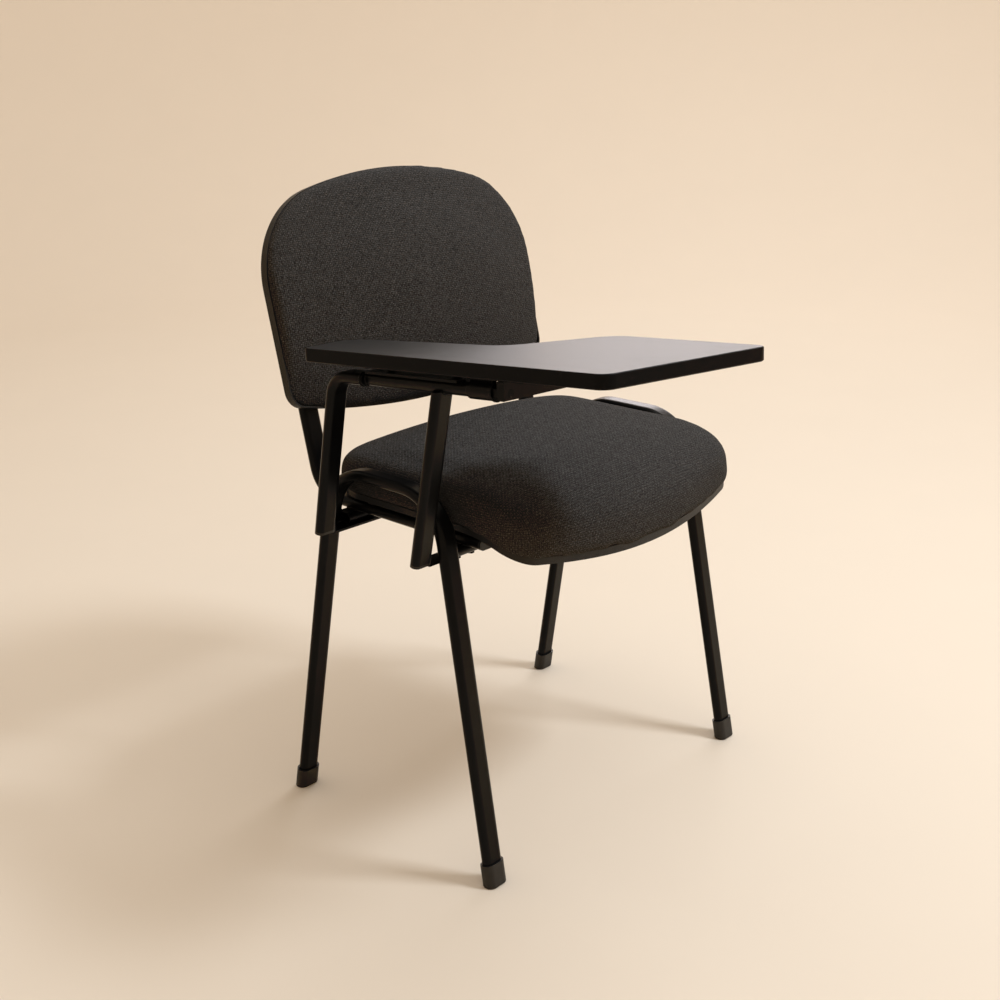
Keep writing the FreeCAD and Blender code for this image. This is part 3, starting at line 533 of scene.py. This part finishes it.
def shell_plastic(colours):
    """Moulded plastic with a pebbled grain."""
    shells = Finish("grained_shell_plastic")
    place = shells.place()
    cells = shells.node("ShaderNodeTexVoronoi", {"feature": "SMOOTH_F1"},
                        {"Vector": place, "Scale": 620.0, "Smoothness": 0.4})
    fine = shells.noise(place, 1800.0, 2.0)
    cloud = shells.noise(place, 9.0, 3.0, 0.6)
    tone = shells.mixed(cloud.band(0.3, 0.72), tinted(colours.shell, 0.8), tinted(colours.shell, 1.3))
    shells.surface(Base_Color=tone, Roughness=0.42 + cloud * 0.1, Specular_IOR_Level=0.3,
                   Normal=shells.relief(cells + fine * 0.4, 0.35, 0.0005))
    return shells


def bush_nylon(colours):
    """Smooth black nylon."""
    bushes = Finish("black_nylon")
    sheen = bushes.noise(bushes.place(), 160.0, 2.0)
    tone = bushes.mixed(sheen, tinted(colours.plastic, 0.8), tinted(colours.plastic, 1.3))
    bushes.surface(Base_Color=tone, Roughness=0.38 + sheen * 0.1)
    return bushes


def moulded_rubber():
    """Dull black rubber with a grey bloom."""
    buffers = Finish("buffer_rubber")
    bloom = buffers.noise(buffers.place(), 220.0, 3.0)
    tone = buffers.mixed(bloom, (0.010, 0.010, 0.010, 1), (0.024, 0.024, 0.023, 1))
    buffers.surface(Base_Color=tone, Roughness=0.72 + bloom * 0.15,
                    Normal=buffers.relief(bloom, 0.2, 0.0003))
    return buffers


class CHAIR_OT_mould_plastics(bpy.types.Operator):
    """Moulded plastic for the boots, plugs, shells and bushes, and rubber for the buffers"""

    bl_idname = "chair.mould_plastics"
    bl_label = "Mould the plastics"

    def execute(self, context):
        colours = context.scene.chair_finishes
        dress(["right_front_foot_boot", "left_front_foot_boot", "right_rear_foot_boot", "left_rear_foot_boot",
               "rail_end_plugs", "post_end_plugs"], boot_plastic(colours))
        dress(["seat_under_shell", "back_shell"], shell_plastic(colours))
        dress(["pivot_bushes"], bush_nylon(colours))
        dress(["rest_buffers"], moulded_rubber())
        return {"FINISHED"}


def oxide_steel(colours):
    """Turned steel with a patchy black oxide."""
    steel = Finish("oxide_black_steel")
    place = steel.place()
    turned = steel.noise(steel.stretched(place, (300.0, 2600.0, 2600.0)), 1.0, 3.0, 0.6)
    cloud = steel.noise(place, 120.0, 3.0, 0.6)
    bright = cloud.band(0.58, 0.75)
    tone = steel.mixed(bright, tinted(colours.steel, 0.7), tinted(colours.steel, 2.6))
    steel.surface(Base_Color=tone, Metallic=0.85 + bright * 0.1, Roughness=0.30 + turned * 0.2,
                  Normal=steel.relief(turned, 0.15, 0.0002))
    return steel


class CHAIR_OT_blacken_fasteners(bpy.types.Operator):
    """Oxide-black steel for bolts, nuts, screws, washer, shaft and its ring"""

    bl_idname = "chair.blacken_fasteners"
    bl_label = "Blacken the fasteners"

    def execute(self, context):
        steel = oxide_steel(context.scene.chair_finishes)
        dress(["seat_bolts", "seat_tee_nuts", "back_bolts", "back_tee_nuts", "bracket_bolts", "bracket_nuts",
               "pivot_shaft", "shaft_ring", "pivot_washer", "pivot_lock_nut", "tablet_screws"], steel)
        return {"FINISHED"}


def matte_laminate(colours):
    """Matte black laminate, finely speckled, with faint scratches."""
    top = Finish("matte_black_laminate")
    place = top.place()
    speck = top.noise(place, 900.0, 2.0, 0.6)
    cloud = top.noise(place, 7.0, 4.0, 0.6)
    lines = top.stretched(place, (14.0, 900.0, 900.0), (0, 0, 0.7))
    scratch = top.noise(lines, 1.0, 2.0, 0.6).band(0.64, 0.75)
    rub = cloud.band(0.45, 0.75)
    tone = top.mixed(speck.band(0.35, 0.75), tinted(colours.laminate, 0.8), tinted(colours.laminate, 1.35))
    tone = top.mixed(scratch * 0.10, tone, tinted(colours.laminate, 4.0))
    top.surface(Base_Color=tone, Roughness=0.40 + rub * 0.06 + speck * 0.05,
                Normal=top.relief(speck, 0.10, 0.0002))
    return top


def edge_strip(colours):
    """Smooth black strip with small knocks."""
    strip = Finish("black_edge_strip")
    place = strip.place()
    grain = strip.noise(place, 1200.0, 2.0)
    knock = strip.noise(place, 90.0, 3.0, 0.7).band(0.60, 0.75)
    tone = strip.mixed(knock * 0.3, tinted(colours.strip, 1.0), tinted(colours.strip, 4.5))
    strip.surface(Base_Color=tone, Roughness=0.36 + grain * 0.12, Specular_IOR_Level=0.15,
                  Normal=strip.relief(grain, 0.12, 0.0002))
    return strip


def chip_board():
    """Raw board of pressed wood chips."""
    chips = Finish("pressed_chip_board")
    flakes = chips.node("ShaderNodeTexVoronoi", {"feature": "F1"},
                        {"Vector": chips.stretched(chips.place(), (160.0, 420.0, 420.0)), "Scale": 1.0})
    tint = chips.axes(flakes.output("Color"))[0]
    tone = chips.mixed(tint, (0.33, 0.23, 0.14, 1), (0.56, 0.44, 0.30, 1))
    chips.surface(Base_Color=tone, Roughness=0.85, Normal=chips.relief(flakes, 0.4, 0.0006))
    return chips


def moulded_plywood(colours):
    """Raw plywood with its grain across the chair."""
    boards = Finish("moulded_plywood")
    grain = boards.noise(boards.stretched(boards.place(), (12.0, 240.0, 240.0)), 1.0, 4.0, 0.6)
    tone = boards.mixed(grain, tinted(colours.plywood, 0.75), tinted(colours.plywood, 1.1))
    boards.surface(Base_Color=tone, Roughness=0.62 + grain * 0.15, Normal=boards.relief(grain, 0.2, 0.0004))
    return boards


# The backing sheet's thickness, and how much of it lies in the board, in metres
BACKING = 0.0006
BACKING_SINK = 0.0002

# A face of the tablet's board looks down if its normal's height is under this
DOWNWARD = -0.9


def tablet_backing(finish):
    """Black sheet on the underside of the tablet's board."""
    shape = bmesh.new()
    shape.from_mesh(frame["nodes"]["tablet_core"].data)
    others = [face for face in shape.faces if face.normal.z > DOWNWARD]
    bmesh.ops.delete(shape, geom=others, context="FACES")
    down = sum((face.normal * face.calc_area() for face in shape.faces), Vector()).normalized()
    bmesh.ops.translate(shape, verts=shape.verts, vec=-down * BACKING_SINK)
    drawn = bmesh.ops.extrude_face_region(shape, geom=shape.faces[:])["geom"]
    lower = [part for part in drawn if isinstance(part, bmesh.types.BMVert)]
    bmesh.ops.translate(shape, verts=lower, vec=down * BACKING)
    bmesh.ops.recalc_face_normals(shape, faces=shape.faces)
    mesh = filled(shape, "tablet_backing")
    mesh.materials.clear()
    mesh.materials.append(finish.material)
    sheet = linked("tablet_backing", mesh)
    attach(sheet, "tablet")


class CHAIR_OT_finish_tablet(bpy.types.Operator):
    """Laminate, backing sheet, edge strip and board of the tablet, and the boards in the cushions"""

    bl_idname = "chair.finish_tablet"
    bl_label = "Finish the tablet and boards"

    def execute(self, context):
        colours = context.scene.chair_finishes
        top = matte_laminate(colours)
        dress(["tablet_laminate"], top)
        tablet_backing(top)
        dress(["tablet_edge_band"], edge_strip(colours))
        dress(["tablet_core"], chip_board())
        dress(["seat_board", "back_board"], moulded_plywood(colours))
        return {"FINISHED"}


def woven_cloth(name, turn, colours):
    """Heathered plain weave, on three planes that follow the cushion's own tilt."""
    cloth = Finish(name)
    place = cloth.stretched(cloth.place(), (1, 1, 1), turn)
    facing = cloth.stretched(cloth.place("Normal"), (1, 1, 1), turn)
    x, y, z = cloth.axes(place)
    wave = math.pi / colours.thread_pitch
    rows = [(x * wave).sine(), (y * wave).sine(), (z * wave).sine()]
    shares = [abs(part) ** 4.0 for part in cloth.axes(facing)]

    def threads(first, second):
        crossing = rows[first] * rows[second]
        return abs(crossing) * 0.75 + crossing * 0.25

    planes = threads(1, 2) * shares[0] + threads(0, 2) * shares[1] + threads(0, 1) * shares[2]
    weave = planes / (shares[0] + shares[1] + shares[2])
    warp = cloth.noise(cloth.stretched(place, (1500.0, 170.0, 1500.0)), 1.0, 2.0, 0.6)
    weft = cloth.noise(cloth.stretched(place, (170.0, 1500.0, 1500.0)), 1.0, 2.0, 0.6)
    fleck = cloth.noise(place, 1500.0, 2.0, 0.7).band(0.50, 0.70)
    cloud = cloth.noise(place, 9.0, 3.0, 0.6)
    heather = warp.band(0.38, 0.68) * 0.36 + weft.band(0.38, 0.68) * 0.36 + fleck * 0.45
    tone = (heather * (0.55 + weave) + (cloud - 0.5) * 0.06).most(0.0).least(1.0)
    fibre = cloth.noise(place, 2600.0, 2.0, 0.7)
    cloth.surface(Base_Color=cloth.mixed(tone, (*colours.yarn_dark, 1.0), (*colours.yarn_light, 1.0)),
                  Roughness=0.86 + fibre * 0.10, Sheen_Weight=0.02, Sheen_Roughness=0.45,
                  Sheen_Tint=(0.75, 0.72, 0.70, 1.0), Specular_IOR_Level=0.03,
                  Normal=cloth.relief(weave + fibre * 0.35 + heather * 0.3, 0.55, 0.0011))
    return cloth


def joined_copy(name, *nodes):
    """A new object with the meshes of several CAD nodes."""
    shape = bmesh.new()
    for node in nodes:
        shape.from_mesh(frame["nodes"][node].data)
    bmesh.ops.remove_doubles(shape, verts=shape.verts, dist=SAME_POINT)
    return linked(name, filled(shape, name))


def point_values(mesh, name):
    """The places or normals of a mesh's points, one row each."""
    flat = np.empty(len(mesh.vertices) * 3, np.float32)
    mesh.vertices.foreach_get(name, flat)
    return flat.reshape(-1, 3).astype(float)


def points_of(mesh):
    return point_values(mesh, "co")


def normals_of(mesh):
    return point_values(mesh, "normal")


def set_points(mesh, points):
    """Move a mesh's points to these places."""
    mesh.vertices.foreach_set("co", points.astype(np.float32).ravel())
    mesh.update()


def applied(piece):
    """Replace a piece's mesh by its evaluated one, with no modifiers left."""
    depsgraph = bpy.context.evaluated_depsgraph_get()
    mesh = bpy.data.meshes.new_from_object(piece.evaluated_get(depsgraph))
    old = piece.data
    piece.modifiers.clear()
    piece.data = mesh
    bpy.data.meshes.remove(old)


def edges_of(mesh):
    """The two points of each edge of a mesh."""
    flat = np.empty(len(mesh.edges) * 2, np.int32)
    mesh.edges.foreach_get("vertices", flat)
    return flat.reshape(-1, 2)


def rounded(mesh, free, rounds):
    """Soften a mesh's corners by drawing each free point to its neighbours."""
    points = points_of(mesh)
    edges = edges_of(mesh)
    count = np.bincount(edges.ravel(), minlength=len(points)).astype(float)
    for _ in range(rounds):
        total = np.empty_like(points)
        for axis in range(3):
            total[:, axis] = (np.bincount(edges[:, 0], points[edges[:, 1], axis], len(points))
                              + np.bincount(edges[:, 1], points[edges[:, 0], axis], len(points)))
        points += (total / count[:, None] - points) * (0.5 * free)[:, None]
    set_points(mesh, points)


def eased(mesh, values, rounds):
    """Spread a value over neighbouring points."""
    edges = edges_of(mesh)
    count = np.bincount(edges.ravel(), minlength=len(values)).astype(float)
    for _ in range(rounds):
        total = (np.bincount(edges[:, 0], values[edges[:, 1]], len(values))
                 + np.bincount(edges[:, 1], values[edges[:, 0]], len(values)))
        values = 0.5 * values + 0.5 * total / count
    return values


def ramp(values, ends):
    """0 at the first end and before it, 1 at the second and past it, and a straight line between."""
    return np.clip((values - ends[0]) / (ends[1] - ends[0]), 0.0, 1.0)


def distance_to(points, chosen):
    """Distance of each point to the nearest of the chosen ones."""
    tree = KDTree(len(chosen))
    for index, place in enumerate(chosen):
        tree.insert(place, index)
    tree.balance()
    return np.array([tree.find(place)[2] for place in points])


def remeshed(piece, voxel):
    """Give a piece an even grid of faces."""
    change = piece.modifiers.new("grid", "REMESH")
    change.mode = "VOXEL"
    change.voxel_size = voxel
    applied(piece)


def swollen(piece, held, settings):
    """Press the cover out from inside as cloth, held where it is tucked in, and cap how far it swells."""
    rest = points_of(piece.data)
    facing = normals_of(piece.data)
    set_points(piece.data, rest - facing * (settings.slack * (1.0 - held))[:, None])
    group = piece.vertex_groups.new(name="tucked")
    for index in np.nonzero(held > 0.01)[0]:
        group.add([int(index)], float(held[index]), "REPLACE")
    cloth = piece.modifiers.new("cover", "CLOTH")
    cloth.settings.quality = 5
    cloth.settings.mass = 0.25
    cloth.settings.tension_stiffness = 25.0
    cloth.settings.compression_stiffness = 25.0
    cloth.settings.shear_stiffness = 12.0
    cloth.settings.bending_stiffness = 1.2
    cloth.settings.use_pressure = True
    cloth.settings.uniform_pressure_force = settings.pressure
    cloth.settings.vertex_group_mass = group.name
    cloth.settings.effector_weights.gravity = 0.0
    cloth.collision_settings.use_collision = False
    cloth.point_cache.frame_start = 1
    cloth.point_cache.frame_end = settings.frames
    scene = bpy.context.scene
    for step in range(1, settings.frames + 1):
        scene.frame_set(step)
    applied(piece)
    scene.frame_set(1)
    outward = ((points_of(piece.data) - rest) * facing).sum(1)
    outward = np.clip(outward, 0.0, settings.swell) * (1.0 - held)
    outward = eased(piece.data, outward, rounds=12)
    set_points(piece.data, rest + facing * outward[:, None])


# How far a face looks the way of the pad's front, from -1 to 1: the underside's faces are under the first
# value, and the sides and the crown begin at one end of their ranges and are full at the other
UNDERSIDE = -0.35
SIDES = (10 / 11, 0.0)
CROWN = (2 / 15, 0.8)

# Heights over a pad's underside, in tucks, from none to full: the bulge, the softening, the hold of the
# shell, and the start and end of the roll over the rim
BULGING = (0.5, 1.5)
SOFT = (1.0, 2.0)
HELD = (1.5, 0.5)
ROLL_START = (0.55, 0.90)
ROLL_END = (2.6, 1.4)

# How far the roll hangs over the rim, for how far it stands out
ROLL_DROP = 1.9


def shape_pad(pad, out, rounds, bulge, lift, roll, settings):
    """Turn a pad's solid into a soft form that is held only where it is tucked into its shell."""
    remeshed(pad, settings.voxel)
    points = points_of(pad.data)
    facing = normals_of(pad.data)
    ahead = facing @ np.array(out)
    height = distance_to(points, points[ahead < UNDERSIDE]) / settings.tuck
    side = ramp(np.abs(ahead), SIDES) * ramp(height, BULGING) * bulge(points)
    side = eased(pad.data, side, rounds=6)
    crown = eased(pad.data, lift * ramp(ahead, CROWN), rounds=6)
    set_points(pad.data, points + facing * side[:, None] + np.outer(crown, out))
    rounded(pad.data, ramp(height, SOFT), rounds)
    swollen(pad, ramp(height, HELD), settings)
    points = points_of(pad.data)
    facing = normals_of(pad.data)
    flat = facing - np.outer(facing @ np.array(out), out)
    flat /= np.maximum(np.linalg.norm(flat, axis=1), 1e-6)[:, None]
    lip = eased(pad.data, ramp(height, ROLL_START) * ramp(height, ROLL_END), rounds=4)
    points += flat * (roll * lip)[:, None] - np.outer(ROLL_DROP * roll * lip, out)
    set_points(pad.data, points)
    rounded(pad.data, np.minimum(1.5 * lip, 1.0), rounds=5)


def finished_cushion(piece, cloth, nodes):
    """Cover a shaped pad with its cloth and let it stand for its CAD nodes."""
    piece.data.materials.clear()
    piece.data.materials.append(cloth.material)
    smooth = piece.modifiers.new("smooth", "SUBSURF")
    smooth.levels = 1
    smooth.render_levels = 1
    applied(piece)
    smooth_shaded(piece.data)
    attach(piece, "frame")
    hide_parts(*nodes)


# The hoops leave the seat little room to bulge: their middle along the chair, the distances from it at
# which their hold starts and is full, in metres, and the part of the bulge that they take away
HOOP_MIDDLE = 0.065
HOOP_REACH = (0.105, 0.075)
HOOP_HOLD = 0.8

# The part of the seat's rim roll that the back has
BACK_ROLL = 0.4


class CHAIR_OT_upholster_seat(bpy.types.Operator):
    """Foam seat pad under a drawn cover, tucked into the shell's rim"""

    bl_idname = "chair.upholster_seat"
    bl_label = "Upholster the seat"

    def execute(self, context):
        settings = context.scene.chair_upholstery
        pad = joined_copy("seat_pad", "seat_cushion", "seat_board")

        def bulge(points):
            by_hoop = ramp(np.abs(points[:, 1] - HOOP_MIDDLE), HOOP_REACH)
            return settings.bulge * (1.0 - HOOP_HOLD * by_hoop)

        out = Vector((0.0, 0.0, 1.0))
        shape_pad(pad, out, settings.seat_rounding, bulge, settings.seat_lift, settings.roll, settings)
        cloth = woven_cloth("charcoal_weave_seat", (0, 0, 0), context.scene.chair_finishes)
        finished_cushion(pad, cloth, ("seat_cushion", "seat_board"))
        return {"FINISHED"}


class CHAIR_OT_upholster_back(bpy.types.Operator):
    """Foam back pad under a drawn cover, tucked into the shell's rim"""

    bl_idname = "chair.upholster_back"
    bl_label = "Upholster the back"

    def execute(self, context):
        settings = context.scene.chair_upholstery
        pad = joined_copy("back_pad", "back_cushion", "back_board")

        def bulge(points):
            return np.zeros(len(points))

        out = Vector((0.0, -math.cos(RECLINE), math.sin(RECLINE)))
        shape_pad(pad, out, settings.back_rounding, bulge, 0.0, BACK_ROLL * settings.roll, settings)
        turn = (RECLINE - math.pi / 2, 0, 0)
        cloth = woven_cloth("charcoal_weave_back", turn, context.scene.chair_finishes)
        finished_cushion(pad, cloth, ("back_cushion", "back_board"))
        return {"FINISHED"}


def soft_light(name, place, aim, size, power, colour):
    """A panel light that the camera doesn't see, in metres and watts."""
    lamp = bpy.data.lights.new(name, "AREA")
    lamp.shape = "RECTANGLE"
    lamp.size, lamp.size_y = size
    lamp.energy = power
    lamp.color = colour
    made = bpy.data.objects.new(name, lamp)
    made.location = place
    made.rotation_euler = (Vector(aim) - Vector(place)).to_track_quat("-Z", "Y").to_euler()
    made.visible_camera = False
    bpy.context.scene.collection.objects.link(made)
    return made


# The paper's flat radius, the radius of its bend and the height of its rim, in metres, and its steps
FLAT_RADIUS = 3.6
BEND_RADIUS = 1.8
RIM_HEIGHT = 3.4
FLAT_STEPS = 3
BEND_STEPS = 12
ROUND_STEPS = 96

# How the view darkens the deepest shades: brightness before and after
TOE = ((0.02, 0.010), (0.06, 0.054), (0.12, 0.12))


def pale_paper(stage):
    """Dull paper with a faint cloud."""
    paper = Finish("pale_paper")
    grain = paper.noise(paper.place(), 4.0, 2.0)
    tone = paper.mixed(grain, tinted(stage.floor, 0.99), tinted(stage.floor, 1.01))
    paper.surface(Base_Color=tone, Roughness=0.9, Specular_IOR_Level=0.1)
    return paper


class CHAIR_OT_set_stage(bpy.types.Operator):
    """Paper floor that curves up all round, soft lights, the view's tones and the camera"""

    bl_idname = "chair.set_stage"
    bl_label = "Set the stage"

    def execute(self, context):
        stage = context.scene.chair_stage
        self.paper(stage)
        self.lights()
        self.air(context)
        self.view(context)
        self.camera(context, stage)
        return {"FINISHED"}

    def paper(self, stage):
        profile = [(FLAT_RADIUS * step / FLAT_STEPS, 0.0) for step in range(1, FLAT_STEPS + 1)]
        for step in range(1, BEND_STEPS + 1):
            turn = math.radians(90 * step / BEND_STEPS)
            profile.append((FLAT_RADIUS + BEND_RADIUS * math.sin(turn), BEND_RADIUS * (1 - math.cos(turn))))
        profile.append((FLAT_RADIUS + BEND_RADIUS, RIM_HEIGHT))
        shape = bmesh.new()
        middle = shape.verts.new((0.0, 0.0, 0.0))
        turns = [2 * math.pi * k / ROUND_STEPS for k in range(ROUND_STEPS)]
        rings = []
        for radius, height in profile:
            rings.append([shape.verts.new((radius * math.cos(turn), radius * math.sin(turn), height))
                          for turn in turns])
        for k in range(ROUND_STEPS):
            after = (k + 1) % ROUND_STEPS
            shape.faces.new((middle, rings[0][k], rings[0][after]))
            for inner, outer in zip(rings, rings[1:]):
                shape.faces.new((inner[k], outer[k], outer[after], inner[after]))
        mesh = filled(shape, "paper_floor")
        smooth_shaded(mesh)
        mesh.materials.append(pale_paper(stage).material)
        floor = linked("paper_floor", mesh)

    def lights(self):
        soft_light("key_light", place=(1.12, -1.72, 3.08), aim=(0.0, 0.0, 0.40), size=(0.7, 0.7),
                   power=60.0, colour=(0.86, 0.94, 1.03))
        soft_light("overhead_panel", place=(0.2, -0.2, 3.3), aim=(0.2, -0.2, 0.0), size=(2.4, 2.4),
                   power=40.0, colour=(0.33, 0.376, 0.425))
        # One rear light gives the tablet its gloss, the other lightens the paper
        gloss = soft_light("rear_panel", place=(4.45, 2.50, 2.25), aim=(0.0, 0.0, 0.60), size=(2.9, 1.3),
                           power=74.0, colour=(0.89, 0.84, 0.875))
        gloss.visible_diffuse = False
        wash = soft_light("rear_wash", place=(4.5, 1.7, 3.7), aim=(0.6, 1.2, 0.3), size=(2.9, 1.3),
                          power=95.0, colour=(0.80, 0.85, 0.91))
        wash.visible_glossy = False

    def air(self, context):
        world = bpy.data.worlds.new("studio_air")
        world.use_nodes = True
        air = next(n for n in world.node_tree.nodes if n.type == "BACKGROUND")
        air.inputs["Color"].default_value = (1.0, 0.875, 0.72, 1.0)
        air.inputs["Strength"].default_value = 0.65
        context.scene.world = world

    def view(self, context):
        view = context.scene.view_settings
        view.view_transform = "Standard"
        view.use_curve_mapping = True
        # The last curve acts on all three colours together
        toe = view.curve_mapping.curves[3]
        for before, after in TOE:
            toe.points.new(before, after)
        for point in toe.points:
            point.handle_type = "VECTOR"
        view.curve_mapping.update()

    def camera(self, context, stage):
        back = Vector((math.sin(stage.azimuth) * math.cos(stage.elevation),
                       -math.cos(stage.azimuth) * math.cos(stage.elevation), math.sin(stage.elevation)))
        level = (-back).cross(Vector((0, 0, 1))).normalized()
        upward = level.cross(-back)
        across = level * math.cos(stage.roll) + upward * math.sin(stage.roll)
        up = upward * math.cos(stage.roll) - level * math.sin(stage.roll)
        lens = bpy.data.cameras.new("photo_camera")
        lens.lens = stage.lens
        lens.sensor_width = 36.0
        lens.clip_start, lens.clip_end = 0.05, 50.0
        camera = bpy.data.objects.new("photo_camera", lens)
        turn = Matrix((across, up, back)).transposed().to_4x4()
        camera.matrix_world = Matrix.Translation(Vector(stage.target) + back * stage.distance) @ turn
        context.scene.collection.objects.link(camera)
        context.scene.camera = camera


class CHAIR_PT_sidebar(bpy.types.Panel):
    """Lists the steps and settings of the chair"""

    bl_idname = "CHAIR_PT_sidebar"
    bl_label = "Tablet arm chair"
    bl_space_type = "VIEW_3D"
    bl_region_type = "UI"
    bl_category = "Chair"

    def draw(self, context):
        for step in STEPS:
            self.layout.operator(step.bl_idname)
        scene = context.scene
        for group in (scene.chair_finishes, scene.chair_upholstery, scene.chair_stage):
            for name in group.__annotations__:
                self.layout.prop(group, name)


STEPS = (CHAIR_OT_paint_frame, CHAIR_OT_weld_frame, CHAIR_OT_mould_plastics, CHAIR_OT_blacken_fasteners,
         CHAIR_OT_finish_tablet, CHAIR_OT_upholster_seat, CHAIR_OT_upholster_back, CHAIR_OT_set_stage)
GROUPS = (ChairFinishes, ChairUpholstery, ChairStage)


def register():
    for made in GROUPS + STEPS + (CHAIR_PT_sidebar,):
        bpy.utils.register_class(made)
    bpy.types.Scene.chair_finishes = bpy.props.PointerProperty(type=ChairFinishes)
    bpy.types.Scene.chair_upholstery = bpy.props.PointerProperty(type=ChairUpholstery)
    bpy.types.Scene.chair_stage = bpy.props.PointerProperty(type=ChairStage)


def unregister():
    del bpy.types.Scene.chair_stage
    del bpy.types.Scene.chair_upholstery
    del bpy.types.Scene.chair_finishes
    for made in reversed(GROUPS + STEPS + (CHAIR_PT_sidebar,)):
        bpy.utils.unregister_class(made)


def main():
    register()
    bpy.ops.chair.paint_frame()
    bpy.ops.chair.weld_frame()
    bpy.ops.chair.mould_plastics()
    bpy.ops.chair.blacken_fasteners()
    bpy.ops.chair.finish_tablet()
    bpy.ops.chair.upholster_seat()
    bpy.ops.chair.upholster_back()
    bpy.ops.chair.set_stage()


if __name__ == "__main__":
    main()
